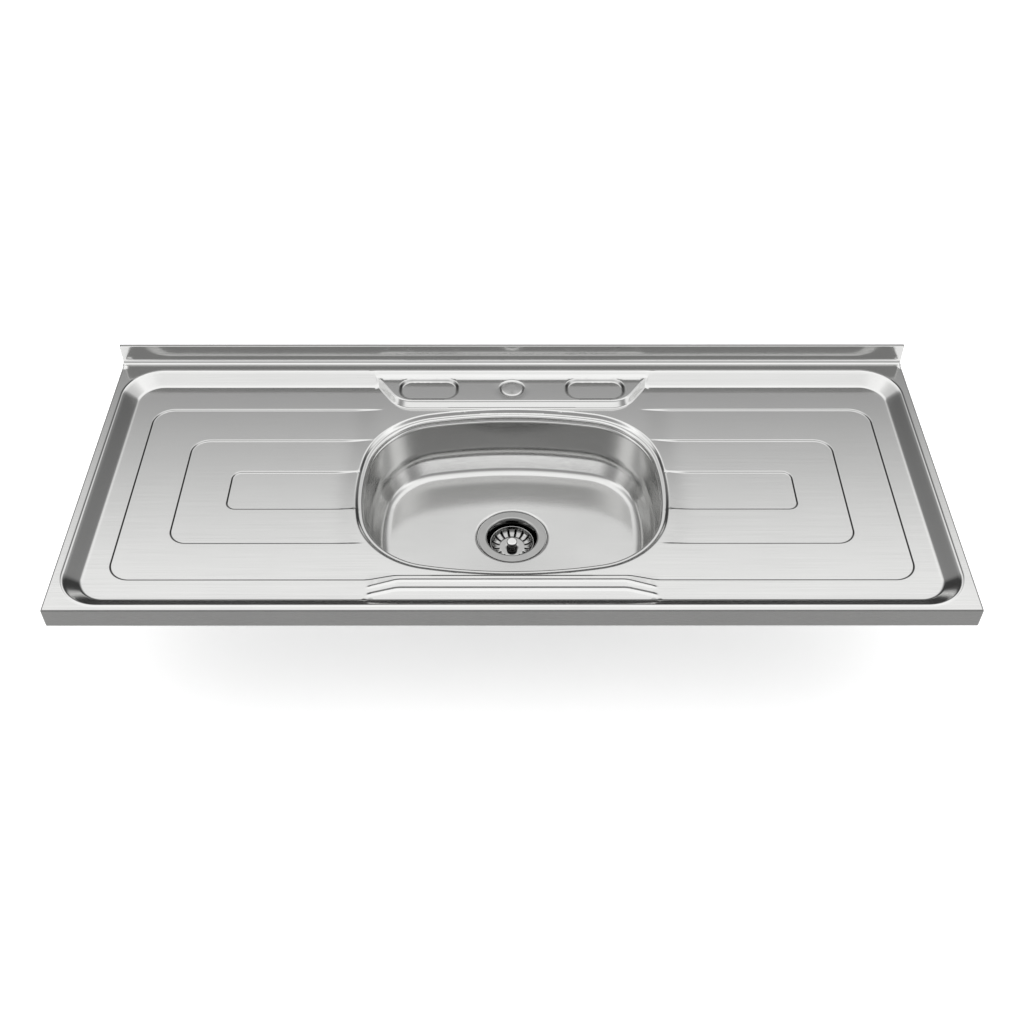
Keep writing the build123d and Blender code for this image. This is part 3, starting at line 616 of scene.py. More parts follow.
# Self-adhesive damping sheet: matt bitumen with a pressed skin.
BITUMEN_SHEET = Finish(
    "bitumen_damping_sheet_pressed", "#2C2C2E", "#39393B", (0.75, 0.92), 1.6, 0.05, 18.0, metal=0.0)
# Pressed fibre washer: brown, matt and slightly mottled.
PRESSED_FIBRE = Finish("fibre_washer_pressed", "#8A6E55", "#755B45", (0.7, 0.88), 0.6, 0.02, 5.0, metal=0.0)
# Injection-moulded polypropylene: satin grey with a fine skin.
MOULDED_GREY = Finish(
    "polypropylene_injection_moulded", "#B9BBBC", "#AEB0B1", (0.38, 0.5), 0.7, 0.004, 25.0, metal=0.0)


def dress_node(node: str, finish: Finish) -> None:
    """Puts one finish on a CAD node that stays in view.

    Args:
        node: The node's name.
        finish: The finish.
    """
    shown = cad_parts[node]
    if not shown.data.materials:
        shown.data.materials.append(None)
    for slot in shown.material_slots:
        slot.link = "OBJECT"
        slot.material = finish.material()
    LOG.info("dressed node %s with %s", node, finish.name)


def placed(name: str, data: ID | None) -> Object:
    """A new object in the scene.

    Args:
        name: The object's name.
        data: Its mesh or camera.

    Returns:
        The object.
    """
    made = bpy.data.objects.new(name, data)
    bpy.context.scene.collection.objects.link(made)
    return made


@dataclass
class Skin:
    """Points and triangles gathered from several surfaces, joined where they touch."""

    points: list[Array] = field(default_factory=list)
    triangles: list[Array] = field(default_factory=list)
    finishes: list[Array] = field(default_factory=list)

    def add(self, points: Array, triangles: Array, flip: bool = False, finish: int = 0) -> None:
        """Adds a surface.

        Args:
            points: Its points.
            triangles: Numbers of its points, three to a row.
            flip: Whether the triangles are turned over.
            finish: Number of the finish that it wears.
        """
        before = sum(map(len, self.points))
        self.points.append(snapped(points.reshape(-1, 3)))
        self.triangles.append((triangles[:, ::-1] if flip else triangles) + before)
        self.finishes.append(np.full(len(triangles), finish))

    def add_grid(self, grid: Array, closed: bool = True, flip: bool = False, finish: int = 0) -> None:
        """Adds a grid of points as a surface. Its rows run round where it is closed."""
        self.add(grid, grid_triangles(*grid.shape[:2], closed), flip, finish)

    def sheet(self, name: str, wall: float, finishes: Sequence[Finish], node: str,
              body: str = "sink", painted_crease_shade: Callable | None = None) -> Object:
        """The skin as one smooth, dressed sheet that takes the place of a CAD node.

        Points closer than a thousandth of a millimetre become one, and triangles
        that lose a side by that are left out. Its UV map "plan" is (x - z/2, y - z),
        which keeps u along X and is flat on no face. Its wall lies behind its face.

        Args:
            name: The object's name.
            wall: Thickness of the sheet.
            finishes: The finishes, in the order the surfaces number them.
            node: The CAD node that it replaces.
            body: The body that it rides on.
            painted_crease_shade: Gives the share of painted shade on the pressed lines at points, kept as an
                attribute.

        Returns:
            The finished object.
        """
        points = np.concatenate(self.points)
        triangles = np.concatenate(self.triangles)
        _, first, same = np.unique(np.round(points, 3), axis=0, return_index=True, return_inverse=True)
        points = points[first]
        triangles = same.reshape(-1)[triangles]
        a, b, c = triangles.T
        whole = (a != b) & (b != c) & (c != a)
        triangles, numbers = triangles[whole], np.concatenate(self.finishes)[whole]
        mesh = bpy.data.meshes.new(name)
        mesh.vertices.add(len(points))
        mesh.vertices.foreach_set("co", (points * MM).astype(np.float32).ravel())
        mesh.loops.add(triangles.size)
        mesh.loops.foreach_set("vertex_index", triangles.astype(np.int32).ravel())
        mesh.polygons.add(len(triangles))
        mesh.polygons.foreach_set("loop_start", np.arange(0, triangles.size, 3, dtype=np.int32))
        mesh.polygons.foreach_set("use_smooth", np.ones(len(triangles), bool))
        mesh.polygons.foreach_set("material_index", numbers.astype(np.int32))
        x, y, z = points[triangles.ravel()].T * MM
        plan = np.stack([x - z / 2, y - z], axis=1).astype(np.float32)
        mesh.uv_layers.new(name="plan").uv.foreach_set("vector", plan.ravel())
        # share of painted shade at each point, kept as an attribute
        shares = painted_crease_shade(points) if painted_crease_shade else np.zeros(len(points))
        kept = mesh.attributes.new("painted_crease_shade", "FLOAT", "POINT").data
        kept.foreach_set("value", shares.astype(np.float32))
        mesh.update(calc_edges=True)
        mesh.validate()
        for finish in finishes:
            mesh.materials.append(finish.material())
        made = placed(name, mesh)
        solid = made.modifiers.new("wall", "SOLIDIFY")
        solid.thickness, solid.offset, solid.use_quality_normals = wall * MM, -1, True
        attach(made, body)
        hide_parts(node)
        LOG.info("built %s: %d triangles before its wall", name, len(mesh.polygons))
        return made


# ------------------------------------------------------------------ pressed top

@dataclass(frozen=True)
class Terrace:
    """One terrace of both drainboards, one step lower than the one round it."""

    end_margin: float
    front: float
    back: float
    radius: float
    inner_end: float

    def outline(self) -> RoundedRectangle:
        """Its top edge, as one rectangle across both drainboards."""
        return rectangle_between(WIDTH / 2 - self.end_margin, self.front, self.back, self.radius)


@dataclass(frozen=True)
class Bead:
    """One bead pressed in front of the bowl, with both ends hooked forwards."""

    distance: float
    width: float
    setback: float


@dataclass
class PressedTop:
    """The pressed top: rim, aprons, upstand, sunk field, terraces, beads and tap ledge."""

    field_margins: tuple[float, float, float] = (12.0, 8.4, 18.4)   # sides, front, back
    field_radius: float = 57.0
    field_run: float = 22.0
    field_drop: float = 15.0
    field_bend: float = 2.0
    field_inset: float = 3.1      # from the outline to the top of the sloping wall
    lip_height: float = 0.6
    lip_half_width: float = 3.0
    lip_inset: float = 1.4
    step: float = 1.7
    step_run: float = 1.6
    step_bend: float = 0.4
    fade_run: float = 48.0
    fade_shift: float = 16.0      # a line is still seen this far into its fading
    strip_fade: float = 180.0     # depth over which the front strip turns into faded sides
    jog_top: float = 155.8
    jog_foot: float = 190.5
    jog_shift: float = 8.0
    jog_bend: float = 4.0
    jog_fade: float = 100.0       # it fades from here to twice as far from the front
    bead_height: float = 1.2
    bead_half_length: float = 150.8
    bead_hook: float = 38.0
    bead_bend: float = 5.0
    bead_run_out: tuple[float, float] = (7.0, 9.0)   # how far before the end it starts, length
    ledge_drop: float = 5.0
    ledge_run: float = 5.1
    ledge_bend: float = 1.0
    ledge_crease: float = 1.2
    soap_offset: float = 126.0
    soap_size: tuple[float, float, float] = (90.0, 47.0, 20.0)      # length, width, radius
    soap_depth: float = 3.6
    soap_run: float = 3.8
    soap_bend: float = 0.7
    ledge_centre: float = 443.7
    mark_radius: float = 17.4
    mark_width: float = 3.8
    mark_depth: float = 1.4
    soft_edge: float = 0.6        # a bead or a groove eases out this far past its width
    land_width: float = 6.5
    land_run: float = 4.0
    land_drop: float = 5.0
    land_bend: float = 0.7
    seam: float = 5.0             # outset where the plan surface meets the bowl's edge
    edge_radius: float = 3.0
    apron_bend: float = 2.0
    hem_bend: float = 1.2
    hem_width: float = 12.0
    fold_radius: float = 7.0
    upstand_hem: float = 8.0
    shade_beside_soap: float = 1.4      # painted shade beside a recess's slope, and a step's
    shade_beside_step: float = 0.7
    shade_mark: tuple[float, float] = (2.4, 0.8)    # half width, share
    shade_cutoff: float = 1.25     # no painted shade on a face where its line's distance grows this fast towards the wall, and full shade at 1 less
    #                               grows this fast towards the wall, and not at 1 less
    probe: float = 0.2            # that growth is read this far to each side
    terraces: tuple[Terrace, ...] = (
        Terrace(64.7, 65.7, 407.5, 30.2, 207.1),
        Terrace(132.6, 133.1, 340.8, 25.1, 215.6),
        Terrace(200.3, 199.8, 275.8, 14.1, 223.2),
    )
    beads: tuple[Bead, ...] = (Bead(65.2, 4.0, 12.5), Bead(50.4, 6.0, 11.0))
    bowl: BowlOutline = BowlOutline()
    ledge: LedgeOutline = LedgeOutline()
    # distances of the mesh's rows of points from each line, outwards
    field_rows: tuple[float, ...] = (
        2.6, 1.6, 1.0, 0.4, -0.2, -0.8, -1.4, -2.0, -2.6, -3.3, -4.0, -4.9, -5.8, -7.2, -13.0,
        -19.6, -20.6, -21.4, -22.0, -22.8, -23.6, -24.6)
    step_rows: tuple[float, ...] = (1.1, 0.4, 0.0, -0.4, -1.2, -1.6, -2.0, -2.7)
    ledge_rows: tuple[float, ...] = (-2.4, -1.0, -0.5, 0.0, 0.5, 1.0, 2.4, 3.8, 4.4, 4.9, 5.3, 5.8, 7.0)
    soap_rows: tuple[float, ...] = (1.6, 0.7, 0.0, -0.7, -1.9, -3.1, -3.8, -4.5, -5.6)
    mark_rows: tuple[float, ...] = (-3.4, -2.2, -1.6, -0.8, 0.0, 0.8, 1.6, 2.2, 3.4)
    land_rows: tuple[float, ...] = (1.8, 0.7, 0.0, -0.7, -2.0, -3.3, -4.0, -4.7)   # from its top
    # steps between points along those rows: on the corners, on the sides
    field_steps: tuple[float, float] = (2.5, 8.0)
    terrace_steps: tuple[float, float] = (1.8, 6.0)
    soap_steps: tuple[float, float] = (2.0, 5.0)
    ledge_step: float = 2.6
    ledge_end: float = 4.0        # its rows end this far before its back
    mark_turn: float = 6.0        # in degrees
    bead_points: int = 131
    bead_rows: int = 9
    bead_clear: float = 1.6       # from its edge to a last row
    bead_past: float = 4.0        # its rows run on this far past its end
    edge_step: float = 10.0       # between the points along the outer edges
    edge_gap: float = 0.5         # from them to the points inside
    clear_gap: float = 4.0        # from a line to the coarse fill
    clear_wide: float = 6.0       # the same from the walls, the steps and the mark
    clear_rim: float = 7.0        # and outside the field's outline
    clear_fade: float = 2.0       # the fill begins this far into a step's faded end
    # where two lines run close together: half width, and the distances between which a
    # fine grid takes the place of their rows
    fine_patches: tuple[tuple[float, float, float], ...] = ((95.0, 403.5, 412.0), (105.0, 71.5, 80.0))
    fine_step: float = 0.8
    fan_points: int = 7           # of the apron at each corner
    bend_steps: int = 5           # of the apron's and the upstand's bends
    edge_steps: int = 8           # of the bowl's rounded edge

    def field_z(self) -> float:
        """Height of the sunk field."""
        return RIM_Z - self.field_drop

    def field_outline(self) -> RoundedRectangle:
        """The top edge of the field's sloping walls."""
        side, front, back = self.field_margins
        return rectangle_between(WIDTH / 2 - side, front, DEPTH - back, self.field_radius)

    def soap_outline(self, side: int) -> RoundedRectangle:
        """The edge of one soap recess; side is -1 or 1."""
        (length, width, radius), y = self.soap_size, FRONT_Y + self.ledge_centre
        return RoundedRectangle((side * self.soap_offset, y), length / 2, width / 2, radius)

    def soap_distance(self, x: Array, y: Array) -> Array:
        """How far places lie outside the nearer soap recess."""
        return self.soap_outline(1).distance(np.abs(x), y)

    def mark_distance(self, x: Array, y: Array) -> Array:
        """How far places lie outside the middle of the tap mark's groove."""
        return np.hypot(x, y - FRONT_Y - self.ledge_centre) - self.mark_radius

    def jog(self, x: Array, y: Array) -> Array:
        """How far the front step is set back: full before the bowl, and only at the front."""
        across = 1 - ramp(np.abs(x) - self.jog_top, self.jog_foot - self.jog_top, self.jog_bend)
        return self.jog_shift * across * (1 - smooth_step((y - FRONT_Y) / self.jog_fade - 1))

    def terrace_distance(self, index: int, x: Array, y: Array) -> Array:
        """How far places lie outside one terrace, counted from the outermost, jog and all."""
        return self.terraces[index].outline().distance(x, y if index else y - self.jog(x, y))

    def terrace_fade(self, index: int, x: Array, y: Array) -> Array:
        """What is left of a step: none towards the bowl, but all of the outermost's front."""
        fade = smooth_step((np.abs(x) - self.terraces[index].inner_end + self.fade_shift) / self.fade_run)
        return fade if index else 1 - smooth_step((y - BOWL_Y) / self.strip_fade + 0.5) * (1 - fade)

    def terrace_fall(self, index: int, x: Array, y: Array) -> Array:
        """How deep one terrace's step has gone: a ramp inside its outline, faded."""
        down = ramp(-self.terrace_distance(index, x, y), self.step_run, self.step_bend)
        return self.step * self.terrace_fade(index, x, y) * down

    def bead_line(self, bead: Bead, x: Array) -> Array:
        """Y of a bead's centre line: straight, then falling forwards at each end."""
        past = eased(np.abs(x) - self.bead_half_length, self.bead_bend) / self.bead_hook
        return FRONT_Y + bead.distance - bead.setback * past

    def bead_rise(self, bead: Bead, x: Array, y: Array) -> Array:
        """Height of one bead: a bump across its line, run out at its ends.

        Args:
            bead: The bead.
            x: Places across.
            y: Places towards the wall.

        Returns:
            The height.
        """
        slope = np.where(np.abs(x) > self.bead_half_length, math.atan2(bead.setback, self.bead_hook), 0.0)
        aside = (y - self.bead_line(bead, x)) * np.cos(slope)
        before, length = self.bead_run_out
        past = np.abs(x) - self.bead_half_length - self.bead_hook + before
        fade = 1 - smooth_step(past / length)
        return self.bead_height * fade * swell(aside, bead.width / 2 + self.soft_edge)

    def ledge_height(self, x: Array, y: Array) -> Array:
        """Height of the tap ledge above the field, its recesses and mark cut in.

        Args:
            x: Places across.
            y: Places towards the wall.

        Returns:
            The height: the rise, less the slope times the eased distance outside its
            edge, less each recess's ramp and the mark's ring groove.
        """
        rise = self.field_drop - self.ledge_drop
        height = rise - rise / self.ledge_run * eased(self.ledge.distance(x, y), self.ledge_bend)
        height = height - self.soap_depth * ramp(-self.soap_distance(x, y), self.soap_run, self.soap_bend)
        groove = swell(self.mark_distance(x, y), self.mark_width / 2 + self.soft_edge)
        return height - self.mark_depth * groove

    def height(self, x: Array, y: Array) -> Array:
        """Height of the face over the whole plan of the top.

        Args:
            x: Places across.
            y: Places towards the wall.

        Returns:
            The field's height, less the terraces' falls, plus the beads, brought down
            to the land round the bowl, plus the rise of the field's sloping wall,
            joined with the tap ledge, plus the low lip along the rim.
        """
        rise = sum(-self.terrace_fall(index, x, y) for index in range(len(self.terraces)))
        rise = rise + sum(self.bead_rise(bead, x, y) for bead in self.beads)
        outside = self.bowl.distance(x, y)
        to_land = ramp(self.land_width + self.land_run - outside, self.land_run, self.land_bend)
        rise = rise * (1 - to_land) - self.land_drop * to_land
        from_edge = self.field_outline().distance(x, y)
        wall = ramp(from_edge + self.field_run, self.field_run - self.field_inset, self.field_bend)
        rise = joined(rise + self.field_drop * wall, self.ledge_height(x, y), self.ledge_crease)
        lip = swell(from_edge + self.lip_inset, self.lip_half_width)
        return self.field_z() + rise + self.lip_height * lip

    def painted_crease_shade(self, points: Array) -> Array:
        """How much painted shade lies at each point, from 0 to 1.

        It is painted on the narrow faces of the pressed lines that look to the sides or to the wall.

        Args:
            points: Points of the face, one to a row.

        Returns:
            The share, which is the largest of all lines' shares.
        """
        x, y = points[:, 0], points[:, 1]
        soap, step, (ring, mark) = self.soap_run / 2, self.step_run / 2, self.shade_mark
        shares = [
            self.line_share(self.soap_distance, x, y, soap, soap + self.shade_beside_soap),
            mark * self.line_share(self.mark_distance, x, y, 0.0, ring),
        ]
        for index in range(len(self.terraces)):
            distance = partial(self.terrace_distance, index)
            line = self.line_share(distance, x, y, step, step + self.shade_beside_step)
            shares.append(line * self.terrace_fade(index, x, y))
        return np.max(shares, axis=0)

    def line_share(self, distance: Callable, x: Array, y: Array, middle: float, half_width: float) -> Array:
        """A bump over a line's slope, middle inside it, where that doesn't look to the front."""
        towards_wall = (distance(x, y + self.probe) - distance(x, y - self.probe)) / (2 * self.probe)
        return swell(distance(x, y) + middle, half_width) * smooth_step(self.shade_cutoff - towards_wall)

    def edge_points(self) -> tuple[Array, Array]:
        """Places along the outer edges of the plan surface.

        Returns:
            The places across, and the places towards the wall.
        """
        half = WIDTH / 2 - self.apron_bend
        front, back = FRONT_Y + self.apron_bend, FRONT_Y + DEPTH - self.fold_radius
        across = np.linspace(-half, half, round(2 * half / self.edge_step) + 1)
        return across, np.linspace(front, back, round((back - front) / self.edge_step) + 1)

    def line_points(self) -> Array:
        """Rows of points beside each pressed line.

        Rows lie at equal distances from each line, so that no triangle cuts across a
        bend.

        Returns:
            The points outside the bowl's seam, one to a row.
        """
        parts = [self.field_outline().path(*self.field_steps).beside(self.field_rows)]
        for index, terrace in enumerate(self.terraces):
            rows = terrace.outline().path(*self.terrace_steps).beside(self.step_rows)
            if index == 0:
                rows[:, 1] += self.jog(rows[:, 0], rows[:, 1])
            seen = np.abs(rows[:, 0]) > terrace.inner_end - self.fade_shift
            parts.append(rows[seen | (index == 0) & (rows[:, 1] <= BOWL_Y)])
        ledge = self.ledge.path(self.ledge_step, -self.ledge_end).beside(self.ledge_rows)
        ledge[:, 0] += np.sign(ledge[:, 0]) * self.ledge.swing(ledge[:, 1])
        parts.append(ledge)
        for side in (-1, 1):
            parts.append(self.soap_outline(side).path(*self.soap_steps).beside(self.soap_rows))
        turned = around(np.radians(np.arange(0, 360, self.mark_turn)))
        ring = Path(np.array([[0.0, FRONT_Y + self.ledge_centre]]), turned)
        parts.append(ring.beside(self.mark_radius + np.array(self.mark_rows)))
        end = self.bead_half_length + self.bead_hook + self.bead_past
        along = np.linspace(-end, end, self.bead_points)
        for bead in self.beads:
            half = bead.width / 2
            inner = np.linspace(-1, 1, self.bead_rows) * (half + self.soft_edge)
            aside = np.concatenate([[-half - self.bead_clear], inner, [half + self.bead_clear]])
            grid = np.broadcast_arrays(along, self.bead_line(bead, along) + aside[:, None])
            parts.append(np.stack(grid, axis=-1).reshape(-1, 2))
        land = self.land_width + self.land_run + np.array(self.land_rows)
        parts.append(self.bowl.path(BOWL_STEP).beside([*land, self.seam]))
        points = np.concatenate(parts)
        return points[self.bowl.distance(*points.T) > self.seam - TINY]

    def plan_points(self) -> Array:
        """Points of the plan surface: the lines' rows, fine patches and a coarse fill.

        Returns:
            The points, one to a row.
        """
        points = self.line_points()
        across, along = self.edge_points()
        fill = crossed(across[1:-1], along[1:-1])
        fill = fill[self.clear_of_lines(*fill.T)]
        for half_width, low, high in self.fine_patches:
            x, y = points[:, 0], points[:, 1] - FRONT_Y
            inside = (np.abs(x) < half_width) & (y > low) & (y < high)
            at_seam = self.bowl.distance(*points.T) < self.land_width
            grid = crossed(np.arange(-half_width, half_width, self.fine_step),
                           FRONT_Y + np.arange(low, high, self.fine_step))
            grid = grid[self.bowl.distance(*grid.T) > self.land_width]
            points = np.concatenate([points[~inside | at_seam], grid])
        gap = self.edge_gap
        inner = (np.abs(points[:, 0]) < across[-1] - gap) & (points[:, 1] > along[0] + gap)
        points = points[inner & (points[:, 1] < along[-1] - gap)]
        return snapped(np.concatenate([
            points, fill, crossed(across[[0, -1]], along), crossed(across[1:-1], along[[0, -1]])]))

    def clear_of_lines(self, x: Array, y: Array) -> Array:
        """Whether a point of the coarse fill lies well away from every pressed line.

        Args:
            x: Places across.
            y: Places towards the wall.

        Returns:
            True where it does.
        """
        gap, wide, aside = self.clear_gap, self.clear_wide, np.abs(x)
        clear = self.bowl.distance(x, y) > self.land_width + self.land_run + gap
        for away, low, high in (
            (self.field_outline().distance(x, y), -self.field_run - wide, self.clear_rim),
            (self.ledge.distance(x, y), -gap, self.ledge_run + gap),
            (self.soap_distance(x, y), -self.soap_run - gap, gap),
            (self.mark_distance(x, y), -wide, wide),
        ):
            clear &= (away < low) | (away > high)
        for index, terrace in enumerate(self.terraces):
            beside = np.abs(self.terrace_distance(index, x, y) + self.step_run / 2)
            faded = aside < terrace.inner_end - self.fade_shift - self.clear_fade
            clear &= (beside > wide) | faded & ((index > 0) | (y > BOWL_Y))
        for bead in self.beads:
            beside = np.abs(y - self.bead_line(bead, x)) > bead.width / 2 + gap
            clear &= beside | (aside > self.bead_half_length + self.bead_hook + wide)
        return clear

    def plan_surface(self) -> tuple[Array, Array]:
        """The face as a height over the plan, joined up into triangles.

        Returns:
            Points with their heights, and triangles. Triangles over the bowl's
            opening are left out.
        """
        flat = [Vector(point) for point in self.plan_points().tolist()]
        found = delaunay_2d_cdt(flat, [], [], 0, 1e-5, False)
        places = np.array([tuple(vertex) for vertex in found[0]])
        triangles = np.array([face for face in found[2] if len(face) == 3])
        kept = self.bowl.distance(*places[triangles].mean(axis=1).T) > self.seam
        return np.column_stack([places, self.height(*places.T)]), triangles[kept]

    def apron(self) -> Array:
        """The bend, apron and hem carried round the left, front and right edges.

        Outside its path a profile point moves along the normal, which fans out at the
        two corners. Inside it moves along the corner's mitre, so that the hem closes.

        Returns:
            A grid of points: a row for each point of the profile.
        """
        across, along = self.edge_points()
        fan, side, front = self.fan_points, len(along) - 1, len(across) - 2
        corners = [np.repeat(crossed(across[[end]], along[:1]), fan, axis=0) for end in (0, -1)]
        places = np.concatenate([
            crossed(across[:1], along[:0:-1]), corners[0], crossed(across[1:-1], along[:1]), corners[1],
            crossed(across[-1:], along[1:])])
        turns = [np.full(side, 180.0), np.linspace(180, 270, fan), np.full(front, 270.0),
                 np.linspace(270, 360, fan), np.full(side, 360.0)]
        at_corner = np.repeat([False, True, False, True, False], [side, fan, front, fan, side])
        normals = around(np.radians(np.concatenate(turns)))
        mitres = np.where(at_corner[:, None], np.sign(places), normals)
        bend = self.apron_bend
        profile = rounded_profile([
            (0.0, RIM_Z, 0.0),
            (bend, RIM_Z, bend - TINY),
            (bend, 0.0, self.hem_bend),
            (bend - self.hem_width, 0.0, 0.0),
        ], self.bend_steps)
        out = profile[:, :1, None]
        moved = places + np.maximum(out, 0) * normals + np.minimum(out, 0) * mitres
        return raised(moved, profile[:, 1:, None])

    def upstand(self) -> Array:
        """The fold, upstand, lip and its turned-down end, carried from side to side.

        Returns:
            A grid of points: a row for each point of the profile.
        """
        across, along = self.edge_points()
        fold, top, half = FRONT_Y + DEPTH, RIM_Z + UPSTAND_HEIGHT, WIDTH / 2
        profile = rounded_profile([
            (along[-1], RIM_Z, 0.0),
            (fold, RIM_Z, self.fold_radius - TINY),
            (fold, top, SHEET),
            (fold + UPSTAND_LIP, top, SHEET),
            (fold + UPSTAND_LIP, top - self.upstand_hem, 0.0),
        ], self.bend_steps)
        places = np.concatenate([[-half], across, [half]])
        x, rows = np.broadcast_arrays(places[None, :, None], profile[:, None, :])
        return np.concatenate([x[..., :1], rows], axis=2)

    def bowl_edge(self) -> Array:
        """The land's inner strip, its rounded edge and the collar, carried round the bowl.

        Returns:
            A grid of points: a row for each point of the profile.
        """
        land = self.field_z() - self.land_drop
        corners = [(self.seam, land, 0.0), (0.0, land, self.edge_radius), (0.0, COLLAR_Z, 0.0)]
        return self.bowl.path(BOWL_STEP).swept(rounded_profile(corners, self.edge_steps))

    def build(self) -> None:
        """Builds the whole top as one sheet with its thickness, dressed."""
        skin = Skin()
        skin.add(*self.plan_surface())
        skin.add_grid(self.bowl_edge())
        # the bend, apron and hem wear the second finish, darkened as painted shade
        skin.add_grid(self.apron(), closed=False, flip=True, finish=1)
        skin.add_grid(self.upstand(), closed=False)
        # the face gets the painted shade of the pressed lines as an attribute
        skin.sheet("pressed_top", SHEET, (BRUSHED_SHEET, SHADED_APRON_SHEET), "sink_top",
                   painted_crease_shade=self.painted_crease_shade)


# ------------------------------------------------------------------ bowl

@dataclass
class DrawnBowl:
    """The bowl, with its sunk seat for the waste."""

    outline: BowlOutline = BowlOutline()
    flare_z: float = -55.0
    wall_draft: float = 4.0
    flare_angle: float = 31.0
    flare_radius: float = 42.0
    floor_z: float = -86.2
    floor_radius: float = 17.0
    floor_fall: float = 1.0       # the floor falls this far to the seat
    floor_ease: float = 0.15      # share of its way at which the fall begins
    seat_radius: float = 51.25
    seat_run: float = 1.5
    seat_drop: float = 3.7
    seat_bend: float = 0.8
    hole_radius: float = 39.5
    floor_rows: int = 44
    wall_rows: int = 6
    bend_steps: int = 14
    seat_steps: int = 4

    def wall(self) -> Array:
        """The upright wall, the sloping foot and the bend into the floor, as a profile.

        Returns:
            Rows of distance out of the bowl's outline and height.
        """
        lean = math.tan(math.radians(self.flare_angle))
        floor = -self.wall_draft - (self.flare_z - self.floor_z) * lean
        line = rounded_profile([
            (0.0, COLLAR_Z, 0.0),
            (-self.wall_draft, self.flare_z, self.flare_radius),
            (floor, self.floor_z, self.floor_radius),
            (floor - self.floor_radius, self.floor_z, 0.0),
        ], self.bend_steps)
        steps = np.linspace(0, 1, self.wall_rows + 2)[1:-1, None]
        return np.concatenate([line[:1], line[0] + steps * (line[1] - line[0]), line[1:]])

    def about_waste(self, loop: Array) -> Path:
        """The middle of the waste, with the way out from it to each point of a loop."""
        away = loop[:, :2] - (0.0, WASTE_Y)
        return Path(np.array([[0.0, WASTE_Y]]), away / np.hypot(*away.T)[:, None])

    def floor(self, loop: Array) -> Array:
        """The floor: from the foot of the wall to the seat's edge.

        Each point is a blend, by share t, of the foot's loop and of the circle round
        the waste on the same way out. The height falls with the share, eased over the
        first part of the way.

        Args:
            loop: The points of the foot's loop.

        Returns:
            A grid of points.
        """
        circle = self.about_waste(loop).moved_out([self.seat_radius + self.seat_run])
        share = np.linspace(0, 1, self.floor_rows)[:, None, None]
        fall = self.floor_fall * eased(share - self.floor_ease, self.floor_ease) / (1 - self.floor_ease)
        return raised(loop[None, :, :2] * (1 - share) + circle * share, self.floor_z - fall)

    def seat(self, loop: Array) -> Array:
        """The slope down to the seat, and the seat in to the hole, turned about the waste.

        Args:
            loop: The points of the floor's inner edge.

        Returns:
            A grid of points.
        """
        top, foot = self.floor_z - self.floor_fall, self.floor_z - self.seat_drop
        return self.about_waste(loop).swept(rounded_profile([
            (self.seat_radius + self.seat_run, top, 0.0),
            (self.seat_radius, foot, self.seat_bend),
            (self.hole_radius, foot, 0.0),
        ], self.seat_steps))

    def build(self) -> None:
        """Builds the bowl as one sheet with its thickness, dressed."""
        wall = self.outline.path(BOWL_STEP).swept(self.wall())
        floor = self.floor(wall[-1])
        skin = Skin()
        for grid in (wall, floor, self.seat(floor[-1])):
            skin.add_grid(grid)
        skin.sheet("drawn_bowl", SHEET, (DRAWN_SHEET,), "bowl")


# ------------------------------------------------------------------ waste, basket, underside

@dataclass
class DressedNodes:
    """CAD nodes that stay in view: each finish, and the nodes that wear it."""

    finishes: Sequence[tuple[Finish, str]]

    def build(self) -> None:
        """Dresses each node."""
        for finish, nodes in self.finishes:
            for node in nodes.split():
                dress_node(node, finish)


@dataclass
class Waste(DressedNodes):
    """The strainer waste and the pipe below it."""

    finishes: Sequence[tuple[Finish, str]] = (
        (BUFFED_CUP, "waste_cup"),
        (BLACK_RUBBER, "flange_seal bowl_gasket outlet_washer"),
        (PRESSED_FIBRE, "friction_ring"),
        (MOULDED_GREY, "lock_nut coupling_nut"),
        (CHROMED_BRASS, "tailpiece"),
    )


